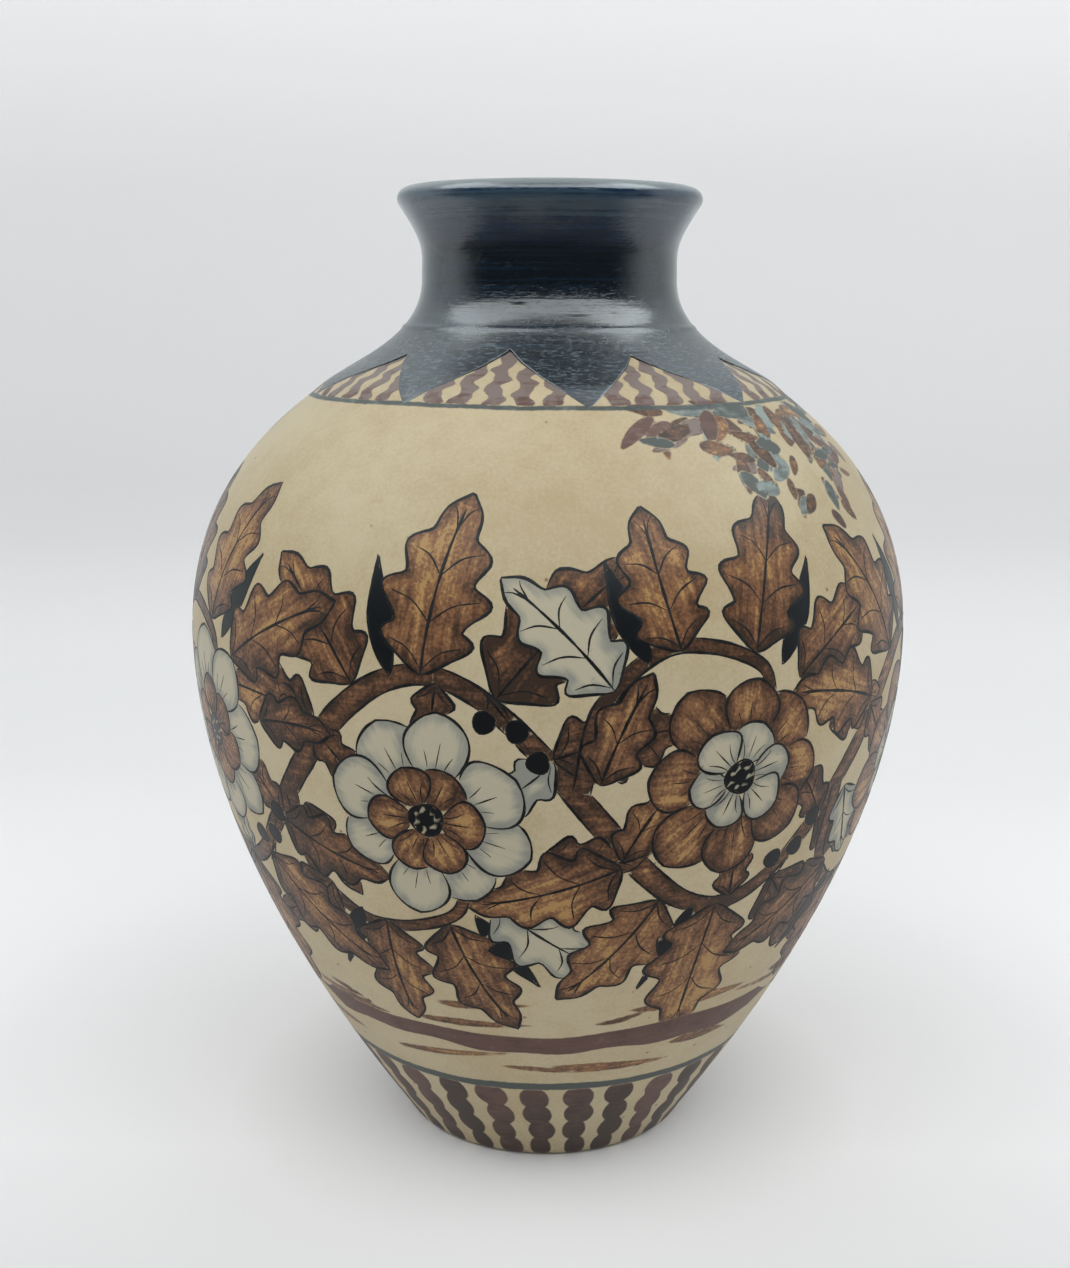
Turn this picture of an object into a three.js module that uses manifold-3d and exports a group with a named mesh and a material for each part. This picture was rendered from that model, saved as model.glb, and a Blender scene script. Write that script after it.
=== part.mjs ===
// A ball vase in stoneware, with a short flared neck under a dark enamel.
// It is made the way a potter makes a large round pot: a turned foot disc, two thrown walls that
// lap at the belly, and a neck collar that laps onto the shoulder. Each lap is luted with slip.
// An enamel coat runs from the points on the shoulder over the lip and into the throat, and a
// glaze lining keeps the inside watertight.
// Millimetres, +Z up. The origin is the centre of the flat foot. The painted front faces -Y.
import * as THREE from "three";
import { mergeVertices } from "three/addons/utils/BufferGeometryUtils.js";
import Module from "manifold-3d";

const wasm = await Module();
wasm.setup();

// Sizes of the finished outline. Heights are above the surface that the vase stands on.
const vaseHeight = 280; // to the lip's crest
const footRadius = 40;
const footEdgeRadius = 5;
const footWallAngle = 58.4; // degrees above the horizontal, where the wall leaves the foot
const footFullness = 14; // length of the curve handle at the foot
const bellyRadius = 105.2;
const bellyHeight = 153.2;
const bellyFullnessBelow = 67.7; // length of the curve handle under the belly
const bellyFullnessAbove = 46.5; // length of the curve handle over the belly
const shoulderRadius = 66.3;
const shoulderDrop = 55.8; // from the lip's crest down to the steepest part of the shoulder
const shoulderAngle = 43.8; // degrees above the horizontal, going up and inwards
const shoulderFullness = 8.2; // length of the curve handles at the shoulder
const neckRadius = 36.9;
const neckDrop = 25.9; // from the lip's crest down to the narrowest part of the neck
const neckFullnessBelow = 17.6; // length of the curve handle under the neck
const neckFullnessAbove = 8.2; // length of the curve handle over the neck
const lipUnderRadius = 43.2;
const lipUnderDrop = 5.4; // from the lip's crest down to where the flare ends
const lipFlareAngle = 56; // degrees above the horizontal, where the flare meets the lip
const lipFlareFullness = 13.7;
const lipRoundness = 3.8; // length of the curve handle round the lip's outer edge
const lipCrestRadius = 38.4;
const lipCrestHandle = 1.4;
const lipInsideRadius = 35.4;
const lipInsideDrop = 4; // from the lip's crest down to the top of the throat
const lipInsideRoundness = 1.7; // length of the curve handles round the lip's inner edge
const throatTopAngle = 74; // degrees above the horizontal
const throatFullness = 9; // length of the curve handles of the throat

// Sizes of the clay sections and their joints.
const bodyWall = 6;
const neckWall = 5;
const footLedgeHeight = 10; // the wall stands on this ledge of the foot disc
const floorHeight = 13; // inside floor of the vase
const footRecessRadius = 31;
const footRecessDepth = 1.5;
const neckJointDrop = 39.2; // from the lip's crest down to the collar's foot
const lapHeight = 4; // how far a joint's inner tongue rises into the section above
const lapClearance = 0.3; // room for slip, beside and over each tongue

// Sizes of the coats.
const enamelThickness = 0.5;
const liningThickness = 0.5;
const coatClearance = 0.3; // between a coat and the clay, and between the two coats
const enamelThroatDepth = 22; // from the lip's crest down to the enamel's end in the throat
const enamelPointCount = 9;
const enamelPointDrop = 18.8; // from the collar's foot down to the tips of the enamel points
const enamelWindowRise = 13; // from those tips up to the tops of the bare windows between them
const enamelPointTipWidth = 2;
const enamelPointTurn = 7.7; // degrees from the front to the first point, towards +X

const roundSegments = 40;
const lowerWallSteps = 8;
const upperWallSteps = 6;
const shoulderSteps = 4;
const neckSteps = 4;
const lipSteps = 3;

const shoulderHeight = vaseHeight - shoulderDrop;
const neckHeight = vaseHeight - neckDrop;
const neckJointHeight = vaseHeight - neckJointDrop;
const enamelPointHeight = neckJointHeight - enamelPointDrop;
const enamelWindowHeight = enamelPointHeight + enamelWindowRise;

const radians = THREE.MathUtils.degToRad;
const point = (radius, height) => new THREE.Vector2(radius, height);
const direction = (degrees) => point(Math.cos(radians(degrees)), Math.sin(radians(degrees)));

// Points of a cubic curve between two ends, with a handle at each end.
function curve(start, startHandle, endHandle, end, steps) {
  const from = start.clone().add(startHandle);
  const to = end.clone().add(endHandle);
  return new THREE.CubicBezierCurve(start, from, to, end).getPoints(steps);
}

// The line moved to its left by the depth that each point asks for. On a line that goes up the
// outside of the vase, left is into the clay.
function moveLeft(line, depthOf) {
  return line.map((here, i) => {
    const along = line[Math.min(i + 1, line.length - 1)].clone();
    along.sub(line[Math.max(i - 1, 0)]).normalize();
    const depth = depthOf(here);
    return point(here.x - along.y * depth, here.y + along.x * depth);
  });
}

// Radius of a line where it first passes a height.
function radiusAt(line, height) {
  for (let i = 1; i < line.length; i++) {
    const [a, b] = [line[i - 1], line[i]];
    if (a.y <= height && height <= b.y && b.y > a.y) {
      return THREE.MathUtils.mapLinear(height, a.y, b.y, a.x, b.x);
    }
  }
  throw new Error(`the line doesn't pass height ${height}`);
}

// The part of a rising line between two heights, with a point at each of them.
function stretch(line, low, high) {
  const shortest = 0.5; // a step shorter than this is left out
  const between = line.filter((p) => p.y > low + shortest && p.y < high - shortest);
  return [point(radiusAt(line, low), low), ...between, point(radiusAt(line, high), high)];
}

const reversed = (line) => [...line].reverse();

// The finished outline, from the foot's edge up the outside to the lip's crest.
const footEdgeCentre = point(footRadius, footEdgeRadius);
const footEdgeEnd = footEdgeCentre
  .clone()
  .addScaledVector(direction(footWallAngle - 90), footEdgeRadius);
const belly = point(bellyRadius, bellyHeight);
const shoulder = point(shoulderRadius, shoulderHeight);
const neck = point(neckRadius, neckHeight);
const lipUnder = point(lipUnderRadius, vaseHeight - lipUnderDrop);
const lipCrest = point(lipCrestRadius, vaseHeight);

const lowerOutline = curve(
  footEdgeEnd,
  direction(footWallAngle).multiplyScalar(footFullness),
  point(0, -bellyFullnessBelow),
  belly,
  lowerWallSteps,
);
const shoulderSlope = direction(180 - shoulderAngle).multiplyScalar(shoulderFullness);
const upperOutline = [
  ...curve(
    belly,
    point(0, bellyFullnessAbove),
    shoulderSlope.clone().negate(),
    shoulder,
    upperWallSteps,
  ),
  ...curve(shoulder, shoulderSlope, point(0, -neckFullnessBelow), neck, shoulderSteps).slice(1),
];
const flareOutline = curve(
  neck,
  point(0, neckFullnessAbove),
  direction(lipFlareAngle).multiplyScalar(-lipFlareFullness),
  lipUnder,
  neckSteps,
);
const lipOutline = curve(
  lipUnder,
  direction(lipFlareAngle).multiplyScalar(lipRoundness),
  point(lipCrestHandle, 0),
  lipCrest,
  lipSteps,
);
const outside = [
  ...lowerOutline,
  ...upperOutline.slice(1),
  ...flareOutline.slice(1),
];

// How much of a change from 0 to 1 has happened at a height on the shoulder.
const shoulderShare = (height) =>
  THREE.MathUtils.smoothstep(height, enamelPointHeight, neckJointHeight);

// The clay lies under the enamel, so its outside steps back on the shoulder and stays back.
const enamelDepth = coatClearance + enamelThickness;
const clayOutside = moveLeft(outside, (p) => enamelDepth * shoulderShare(p.y));

// The inside keeps one wall's distance from the outside up to the neck, and then flares to the lip.
const wallAt = (height) => THREE.MathUtils.lerp(bodyWall, neckWall, shoulderShare(height));
const upToTheNeck = [...lowerOutline, ...upperOutline.slice(1)];
const throatTop = point(lipInsideRadius, vaseHeight - lipInsideDrop);
const throat = curve(
  point(neckRadius - neckWall - enamelDepth, neckHeight),
  point(0, throatFullness),
  direction(throatTopAngle).multiplyScalar(-throatFullness),
  throatTop,
  neckSteps,
);
const clayInside = [
  ...moveLeft(upToTheNeck, (p) => wallAt(p.y)),
  ...moveLeft(throat, () => -enamelDepth).slice(1),
];
const finishedInside = [
  ...moveLeft(upToTheNeck, (p) => wallAt(p.y) + enamelDepth),
  ...throat.slice(1),
];

// From the flare, over the lip's crest and down the throat to the end of the enamel.
const throatEnd = vaseHeight - enamelThroatDepth;
const lipInside = curve(
  lipCrest,
  point(-lipInsideRoundness, 0),
  direction(throatTopAngle).multiplyScalar(lipInsideRoundness),
  throatTop,
  lipSteps,
);
const overTheLip = [
  ...lipOutline.slice(1),
  ...lipInside.slice(1),
  ...reversed(stretch(finishedInside, throatEnd, throatTop.y)).slice(1),
];

// A point on a lap joint where the lower section's tongue meets the rebate above it.
function lapAt(height) {
  const middle = height + lapHeight / 2;
  const radius = (radiusAt(clayOutside, middle) + radiusAt(clayInside, middle)) / 2;
  return {
    height,
    tongueRadius: radius - lapClearance / 2,
    tongueTop: height + lapHeight,
    rebateRadius: radius + lapClearance / 2,
    rebateTop: height + lapHeight + lapClearance,
  };
}
const bellyLap = lapAt(bellyHeight);
const neckLap = lapAt(neckJointHeight);

// Top of a section: a seat outside, then the tongue that rises inside it.
const tongueOf = (lap) => [
  point(lap.tongueRadius, lap.height),
  point(lap.tongueRadius, lap.tongueTop),
];
// Foot of a section: the rebate that the tongue below it enters, from the inside outwards.
const rebateOf = (lap) => [
  point(lap.rebateRadius, lap.rebateTop),
  point(lap.rebateRadius, lap.height),
];

// A closed loop, or a line from axis to axis, turned about the vase's axis.
function turned(loop) {
  return new THREE.LatheGeometry(loop, roundSegments).rotateX(Math.PI / 2);
}
const closed = (loop) => [...loop, loop[0].clone()];

function piece(name, geometry, color, roughness) {
  const mesh = new THREE.Mesh(
    geometry,
    new THREE.MeshStandardMaterial({ color, roughness, metalness: 0 }),
  );
  mesh.name = name;
  return mesh;
}

function footDisc() {
  const edgeSteps = 4;
  const edge = new THREE.EllipseCurve(
    footEdgeCentre.x,
    footEdgeCentre.y,
    footEdgeRadius,
    footEdgeRadius,
    radians(-90),
    radians(footWallAngle - 90),
  ).getPoints(edgeSteps);
  const spigotRadius = radiusAt(clayInside, footLedgeHeight) - lapClearance;
  return turned([
    point(0, footRecessDepth),
    point(footRecessRadius, footRecessDepth),
    point(footRecessRadius + footRecessDepth, 0),
    ...edge,
    ...stretch(outside, footEdgeEnd.y, footLedgeHeight).slice(1),
    point(spigotRadius, footLedgeHeight),
    point(spigotRadius, floorHeight),
    point(0, floorHeight),
  ]);
}

function lowerWall() {
  return turned(
    closed([
      ...stretch(clayOutside, footLedgeHeight, bellyLap.height),
      ...tongueOf(bellyLap),
      ...reversed(stretch(clayInside, footLedgeHeight, bellyLap.tongueTop)),
    ]),
  );
}

function upperWall() {
  return turned(
    closed([
      ...stretch(clayOutside, bellyLap.height, neckLap.height),
      ...tongueOf(neckLap),
      ...reversed(stretch(clayInside, bellyLap.rebateTop, neckLap.tongueTop)),
      ...rebateOf(bellyLap),
    ]),
  );
}

function neckCollar() {
  const finished = [...outside, ...overTheLip];
  const clay = moveLeft(finished, (p) => enamelDepth * shoulderShare(p.y));
  const lipAndThroat = clay.slice(clayOutside.length);
  const flareTop = clay[clayOutside.length - 1];
  return turned(
    closed([
      ...stretch(clay.slice(0, clayOutside.length), neckLap.height, flareTop.y),
      ...lipAndThroat,
      ...reversed(stretch(clayInside, neckLap.rebateTop, throatEnd)).slice(1),
      ...rebateOf(neckLap),
    ]),
  );
}

// A closed mesh as a solid that can be cut.
function solidOf(geometry) {
  geometry.deleteAttribute("normal");
  geometry.deleteAttribute("uv");
  const merged = mergeVertices(geometry);
  return new wasm.Manifold(
    new wasm.Mesh({
      numProp: 3,
      vertProperties: merged.attributes.position.array,
      triVerts: new Uint32Array(merged.index.array),
    }),
  );
}

function geometryOf(solid) {
  const mesh = solid.getMesh();
  return new THREE.BufferGeometry()
    .setAttribute("position", new THREE.BufferAttribute(mesh.vertProperties, mesh.numProp))
    .setIndex(new THREE.BufferAttribute(mesh.triVerts, 1));
}

// A bare window between two enamel points: a wedge that starts at the axis and runs out past the
// coat. It also reaches a little below the points, so that the cut leaves no skin there.
function enamelWindow(index) {
  const windowTurn = 360 / enamelPointCount;
  const tipRadius = radiusAt(clayOutside, enamelPointHeight) + enamelDepth;
  const halfWidth = tipRadius * Math.sin(radians(windowTurn / 2)) - enamelPointTipWidth / 2;
  const below = enamelPointHeight - enamelThickness;
  const wedge = new THREE.Shape([
    point(-halfWidth, below),
    point(halfWidth, below),
    point(halfWidth, enamelPointHeight),
    point(0, enamelWindowHeight),
    point(-halfWidth, enamelPointHeight),
  ]);
  const turn = radians(enamelPointTurn + windowTurn * (index + 0.5));
  return new THREE.ExtrudeGeometry(wedge, { depth: bellyRadius, bevelEnabled: false })
    .rotateX(Math.PI / 2)
    .rotateZ(turn);
}

// The coat's outer and inner faces follow the clay, out by the clearance and by the full depth.
function neckEnamel() {
  const clay = moveLeft([...outside, ...overTheLip], (p) => enamelDepth * shoulderShare(p.y));
  const outerFace = moveLeft(clay, () => -enamelDepth);
  const innerFace = moveLeft(clay, () => -coatClearance);
  const fromPoints = (line) => {
    const rising = line.slice(0, outside.length);
    const top = rising[rising.length - 1];
    return [...stretch(rising, enamelPointHeight, top.y), ...line.slice(outside.length)];
  };
  const coat = turned(closed([...fromPoints(outerFace), ...reversed(fromPoints(innerFace))]));
  const windows = Array.from({ length: enamelPointCount }, (_, i) => solidOf(enamelWindow(i)));
  return geometryOf(windows.reduce((solid, window) => solid.subtract(window), solidOf(coat)));
}

function innerGlaze() {
  const outerFace = moveLeft(clayInside, () => coatClearance);
  const innerFace = moveLeft(clayInside, () => coatClearance + liningThickness);
  const liningTop = throatEnd - coatClearance;
  const liningFloor = floorHeight + coatClearance;
  return turned([
    point(0, liningFloor),
    ...stretch(outerFace, liningFloor, liningTop),
    ...reversed(stretch(innerFace, liningFloor + liningThickness, liningTop)),
    point(0, liningFloor + liningThickness),
  ]);
}

const vase = new THREE.Group();
vase.add(
  piece("foot_disc", footDisc(), 0xb29c74, 0.85),
  piece("lower_wall", lowerWall(), 0xc2ad82, 0.6),
  piece("upper_wall", upperWall(), 0xc2ad82, 0.6),
  piece("neck_collar", neckCollar(), 0xc2ad82, 0.7),
  piece("neck_enamel", neckEnamel(), 0x1d2833, 0.25),
  piece("inner_glaze", innerGlaze(), 0x6b4a2a, 0.2),
);

export default vase;
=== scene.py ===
# %% [markdown]
# # A painted stoneware vase
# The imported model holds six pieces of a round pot: a foot, two walls, a neck collar, a dark enamel
# over the neck and a glaze lining. This notebook gives them their finish. The paint is worked out as
# distances on the wall, in millimetres, so its edges stay sharp on a mesh of one-millimetre faces.

# %% Load the frame
import math

import bpy
import numpy as np
from mathutils import Matrix


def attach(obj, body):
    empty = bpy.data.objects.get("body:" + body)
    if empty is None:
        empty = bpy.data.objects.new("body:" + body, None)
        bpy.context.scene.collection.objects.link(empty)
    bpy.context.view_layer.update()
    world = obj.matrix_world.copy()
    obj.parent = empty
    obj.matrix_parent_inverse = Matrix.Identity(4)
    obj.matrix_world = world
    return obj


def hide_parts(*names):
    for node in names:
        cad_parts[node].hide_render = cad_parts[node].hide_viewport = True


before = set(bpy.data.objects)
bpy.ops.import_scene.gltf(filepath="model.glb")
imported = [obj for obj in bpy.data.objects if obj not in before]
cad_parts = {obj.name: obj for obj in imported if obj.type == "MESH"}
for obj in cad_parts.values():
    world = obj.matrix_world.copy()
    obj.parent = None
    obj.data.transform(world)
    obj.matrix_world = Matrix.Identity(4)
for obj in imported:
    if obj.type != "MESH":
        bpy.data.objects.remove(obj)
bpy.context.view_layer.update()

MM = 0.001
rng = np.random.default_rng(11)
print("CAD pieces:", ", ".join(sorted(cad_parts)))

# %% [markdown]
# ## The outline
# A thrown pot is one line turned about an axis. The line here is made of cubic curves with the same
# driving sizes as the construction: foot to belly, belly to shoulder, shoulder to neck, neck to
# flare, over the lip, and down the throat. It could be a traced spline, but a few named sizes are
# easier to change, and they keep the paint and the solids on one line.

# %% Sizes of the pot, in millimetres and in degrees above the horizontal
VASE_HEIGHT = 280
FOOT_RADIUS = 40
FOOT_EDGE_RADIUS = 5
FOOT_WALL_ANGLE = 58.4
BELLY_RADIUS = 105.2
BELLY_HEIGHT = 153.2
SHOULDER_RADIUS = 66.3
SHOULDER_HEIGHT = 224.2
SHOULDER_ANGLE = 43.8  # going up and inwards
NECK_RADIUS = 36.9
NECK_HEIGHT = 254.1
FLARE_RADIUS = 43.2
FLARE_DROP = 5.4  # from the lip's crest down to the end of the flare
FLARE_ANGLE = 56
LIP_HANDLES = (2.5, 5.2)  # the lip's outer corner is a little squarer than in the solids
LIP_CREST_RADIUS = 38.4
LIP_INSIDE_RADIUS = 35.4
LIP_INSIDE_DROP = 4
THROAT_RADIUS = 31.1
THROAT_TOP_ANGLE = 74
print(f"the pot is {VASE_HEIGHT} mm tall and {2 * BELLY_RADIUS} mm wide")


# %% Curves in the plane
def heading(degrees):
    """Unit vector (cos, sin) of an angle above the horizontal."""
    return np.array([math.cos(math.radians(degrees)), math.sin(math.radians(degrees))])


def cubic(start, start_handle, end_handle, end, count=900):
    """Points (1-t)^3 A + 3(1-t)^2 t B + 3(1-t) t^2 C + t^3 D. B and C are the ends plus their handles."""
    start, end = np.array(start, float), np.array(end, float)
    second, third = start + start_handle, end + end_handle
    t = np.linspace(0, 1, count)[:, None]
    return (1 - t) ** 3 * start + 3 * (1 - t) ** 2 * t * second + 3 * (1 - t) * t**2 * third + t**3 * end


def arc(centre, radius, first, last, count=60):
    """Points centre + radius (cos a, sin a) for angles a from first to last, in degrees."""
    angle = np.radians(np.linspace(first, last, count))
    return np.array(centre) + radius * np.stack([np.cos(angle), np.sin(angle)], 1)


print("heading of the foot's wall:", heading(FOOT_WALL_ANGLE).round(3))

# %% The outline, from the foot's flat over the lip and down the throat
# A longer handle, in millimetres, keeps a curve longer on the heading of its end.
NECK_POINTS, LIP_POINTS = 400, 90
foot_edge = arc((FOOT_RADIUS, FOOT_EDGE_RADIUS), FOOT_EDGE_RADIUS, -90, FOOT_WALL_ANGLE - 90)
bowl = cubic(foot_edge[-1], 14 * heading(FOOT_WALL_ANGLE), (0, -67.7), (BELLY_RADIUS, BELLY_HEIGHT))
slope = 8.2 * heading(180 - SHOULDER_ANGLE)
shoulder = cubic(bowl[-1], (0, 46.5), -slope, (SHOULDER_RADIUS, SHOULDER_HEIGHT))
nape = cubic(shoulder[-1], slope, (0, -17.6), (NECK_RADIUS, NECK_HEIGHT), NECK_POINTS)
flare_end = (FLARE_RADIUS, VASE_HEIGHT - FLARE_DROP)
flare = cubic(nape[-1], (0, 8.2), -13.7 * heading(FLARE_ANGLE), flare_end, NECK_POINTS)
lip_out = LIP_HANDLES[0] * heading(FLARE_ANGLE)
lip_outside = cubic(flare_end, lip_out, (LIP_HANDLES[1], 0), (LIP_CREST_RADIUS, VASE_HEIGHT), LIP_POINTS)
throat_top = (LIP_INSIDE_RADIUS, VASE_HEIGHT - LIP_INSIDE_DROP)
into_throat = heading(THROAT_TOP_ANGLE)
lip_inside = cubic(lip_outside[-1], (-1.7, 0), 1.7 * into_throat, throat_top, LIP_POINTS)
throat = cubic(throat_top, -9 * into_throat, (0, 9), (THROAT_RADIUS, NECK_HEIGHT), NECK_POINTS)

curves = [bowl, shoulder, nape, flare, lip_outside, lip_inside, throat]
outline = np.vstack([foot_edge] + [curve[1:] for curve in curves])
steps = np.linalg.norm(np.diff(outline, axis=0), axis=1)
along = np.concatenate([[0], np.cumsum(steps)])  # arc length from the foot's flat
tangent = np.gradient(outline, along, axis=0)
tangent /= np.linalg.norm(tangent, axis=1)[:, None]
outward = np.stack([tangent[:, 1], -tangent[:, 0]], 1)
crest = int(np.argmax(outline[:, 1]))
print(f"outline: {along[crest]:.1f} mm from the foot to the lip")


# %% Places on the pot
def at_height(height):
    """Arc length at which the outside of the pot passes a height."""
    return float(np.interp(height, outline[:crest, 1], along[:crest]))


def profile(s, depth=0.0):
    """Radius and height at arc length s, moved into the clay by depth along the outline's normal."""
    r = np.interp(s, along, outline[:, 0]) - depth * np.interp(s, along, outward[:, 0])
    z = np.interp(s, along, outline[:, 1]) - depth * np.interp(s, along, outward[:, 1])
    return r, z


def on_pot(phi, s, depth):
    """Point (r sin phi, -r cos phi, z) at azimuth phi, counted from the front towards +X."""
    r, z = profile(s, depth)
    return np.stack([r * np.sin(phi), -r * np.cos(phi), z], -1)


print("the belly's front is at", on_pot(0.0, at_height(BELLY_HEIGHT), 0.0).round(1), "mm")

# %% [markdown]
# ## Turning a line into a mesh
# Each piece is a grid: rows follow the line and columns go round. A line that starts and ends on the
# axis gets one vertex at each pole, and any other line closes on itself, so every piece is a closed
# body with its faces pointing outwards. Blender's Screw modifier also turns a line, but a grid keeps
# the order of its vertices, and the paint is stored in that order.

# %% A mesh from arrays
def mesh_object(name, places, polygons, sharp=None):
    """New object from places in millimetres and a list of index arrays, one array for each face size."""
    mesh = bpy.data.meshes.new(name)
    sizes = np.concatenate([np.full(len(p), p.shape[1]) for p in polygons])
    corners = np.concatenate([p.ravel() for p in polygons])
    mesh.vertices.add(len(places))
    mesh.vertices.foreach_set("co", (places * MM).astype(np.float32).ravel())
    mesh.loops.add(len(corners))
    mesh.loops.foreach_set("vertex_index", corners.astype(np.int32))
    mesh.polygons.add(len(sizes))
    mesh.polygons.foreach_set("loop_start", (np.cumsum(sizes) - sizes).astype(np.int32))
    mesh.update(calc_edges=True)
    mesh.shade_smooth()
    if sharp:
        mesh.set_sharp_from_angle(angle=math.radians(sharp))
    piece = bpy.data.objects.new(name, mesh)
    bpy.context.scene.collection.objects.link(piece)
    return piece


def grid_quads(rows, columns, closed_rows):
    """Quads of a grid whose columns wrap round, and whose rows wrap too where closed_rows is true."""
    row = np.arange(rows if closed_rows else rows - 1)[:, None]
    column = np.arange(columns)[None, :]
    here, above, beside = row * columns, (row + 1) % rows * columns, (column + 1) % columns
    corners = [here + column, here + beside, above + beside, above + column]
    return np.stack(np.broadcast_arrays(*corners), -1).reshape(-1, 4)


# %% A line turned about the axis, and its finish
SHARP_ANGLE = 35  # degrees, past which an edge is shaded sharp


def turned(name, line, columns):
    """Turns a line of (radius, height). A line from axis to axis gets a fan of triangles at each pole."""
    poles = line[0, 0] == 0 and line[-1, 0] == 0
    rings = line[1:-1] if poles else line
    phi = np.arange(columns) / columns * math.tau
    r, z = rings[:, 0, None], rings[:, 1, None]
    places = np.stack([r * np.sin(phi), -r * np.cos(phi), z + 0 * phi], -1).reshape(-1, 3)
    faces = [grid_quads(len(rings), columns, not poles)]
    if poles:
        first, last = len(places), len(places) + 1
        here, beside = np.arange(columns), (np.arange(columns) + 1) % columns
        top = (len(rings) - 1) * columns
        faces.append(np.stack([np.full(columns, first), beside, here], 1))
        faces.append(np.stack([np.full(columns, last), top + here, top + beside], 1))
        places = np.vstack([places, [0, 0, line[0, 1]], [0, 0, line[-1, 1]]])
    return mesh_object(name, places, faces, SHARP_ANGLE)


def dress(piece, material, slot, *nodes):
    """Gives a piece its material, lets it ride on the pot, and hides the CAD nodes it stands for. Its slot is
    not used.
    """
    piece.data.materials.append(material)
    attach(piece, "root")
    if nodes:
        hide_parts(*nodes)
    print(piece.name, len(piece.data.polygons), "faces")


# %% [markdown]
# ## Painting with distances
# A brush mark is a closed outline on the wall. Each vertex stores how far it lies inside the marks of
# each paint, in millimetres, and a material turns that number into a crisp or ragged edge. Storing
# the colour itself would blur every edge by the width of a face. A later mark covers an earlier one,
# as on the pot. Each vertex also stores its place along and across the brush stroke that it lies in,
# so that streaks in the glaze follow the leaf.

# %% Distances and places on the wall
def signed_distance(points, polygon):
    """Distance from each point to a closed polygon, positive inside: least distance to its edges, with
    the sign of the crossing number."""
    a, b = polygon, np.roll(polygon, -1, axis=0)
    edge = b - a
    offset = points[:, None, :] - a[None]
    share = np.clip((offset * edge).sum(-1) / np.maximum((edge**2).sum(-1), 1e-9), 0, 1)
    gap = np.linalg.norm(offset - share[..., None] * edge, axis=-1).min(1)
    x, y = points[:, 0, None], points[:, 1, None]
    spans = (a[:, 1] > y) != (b[:, 1] > y)
    rise = np.where(np.abs(edge[:, 1]) > 1e-9, edge[:, 1], 1e-9)
    crossing = spans & (x < a[:, 0] + (y - a[:, 1]) * edge[:, 0] / rise)
    return np.where(crossing.sum(1) % 2 == 1, gap, -gap)


def turn(points, degrees):
    """Rotates points by an angle, counterclockwise."""
    c, s = heading(degrees)
    return points @ np.array([[c, s], [-s, c]])


def to_local(phi, s, anchor):
    """Millimetres right of and above an anchor on the wall: x = (phi - phi0) r(s), y = s - s0."""
    from_anchor = (phi - anchor[0] + math.pi) % math.tau - math.pi
    return np.stack([from_anchor * profile(s)[0], s - anchor[1]], -1)


def to_wall(local, anchor):
    """The way back from local millimetres to azimuth and arc length."""
    s = anchor[1] + local[..., 1]
    return anchor[0] + local[..., 0] / profile(s)[0], s


square = np.array([[-5, -5], [5, -5], [5, 5], [-5, 5]])
print("the middle of a 10 mm square lies", signed_distance(np.zeros((1, 2)), square)[0], "mm inside")

# %% Marks, and how they are laid one over another
PAINTS = ("brown", "pale", "black", "plum", "blue")
FAR = -9.0  # mm: a distance outside every edge
MARGIN = 7  # mm round a mark within which distances are worked out
STROKE_SHIFT = 9.7  # sets the streaks of one mark apart from those of the next
BOLD, OUTLINE, FINE, VEIN, HAIR = 0.5, 0.45, 0.4, 0.3, 0.26  # half widths of pen lines in mm
marks = []
lines = []


def lay(anchor, shape, paint, tone=0.0, line=OUTLINE, angle=0.0, deep=0.0):
    """Adds a mark. Its tone makes it darker (positive) or lighter, line is its outline's half width,
    angle is the way the brush went, and deep is how far from its root the paint lies thicker."""
    marks.append(dict(anchor=anchor, shape=shape, paint=paint, tone=tone, line=line, angle=angle, deep=deep))


def draw(anchor, points, width):
    """Adds an open pen line over what has been laid so far."""
    lines.append(dict(anchor=anchor, points=points, width=width, over=len(marks)))


print("paints:", ", ".join(PAINTS))


# %% Distances of every paint at every vertex
def paint_wall(phi, s):
    """Distances for all paints at the vertices (phi, s), with every mark laid in order."""
    wall = {name: np.full(len(phi), FAR) for name in PAINTS}
    wall["tone"] = np.zeros(len(phi))
    wall["stroke"] = np.stack([phi * BELLY_RADIUS, s, 0 * s], 1)
    for number, mark in enumerate(marks):
        low, high = mark["shape"].min(0) - MARGIN, mark["shape"].max(0) + MARGIN
        rise = s - mark["anchor"][1]
        near = np.flatnonzero((rise > low[1]) & (rise < high[1]))
        local = to_local(phi[near], s[near], mark["anchor"])
        inside = np.flatnonzero((local[:, 0] > low[0]) & (local[:, 0] < high[0]))
        near, local = near[inside], local[inside]
        if not len(near):
            continue
        gap = signed_distance(local, mark["shape"])
        for name in PAINTS:
            old = wall[name][near]
            kept = np.where(old > 0, np.minimum(old, np.abs(gap)), old)
            if name == mark["paint"]:
                wall[name][near] = np.where(gap > 0, gap, np.where(old > 0, kept, np.maximum(old, gap)))
            else:
                wall[name][near] = np.where((gap > 0) & (old > 0), -gap, kept)
        brushed = turn(local, -mark["angle"])
        tone = np.full(len(near), mark["tone"])
        if mark["deep"]:
            tone += np.clip(1 - brushed[:, 0] / mark["deep"], 0, 1) - 0.2 * np.tanh(brushed[:, 1] / 2)
        wall["tone"][near] = np.where(gap > 0, tone, wall["tone"][near])
        brushed = np.column_stack([brushed, np.full(len(near), STROKE_SHIFT * number)])
        wall["stroke"][near] = np.where(gap[:, None] > 0, brushed, wall["stroke"][near])
    return wall


# %% [markdown]
# ## Shapes of the brush
# A leaf, a petal and a stem are all a centre line with a half width that changes along it. A leaf's
# half width is a sine that leans to one end, and a bent centre line is a parabola. Drawn splines
# would do as well, but a formula gives every leaf another length, bend and width.

# %% Leaf, petal, fruit and stem shapes, in local millimetres
BLUNT = 0.15  # half width of a leaf's ends


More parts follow.
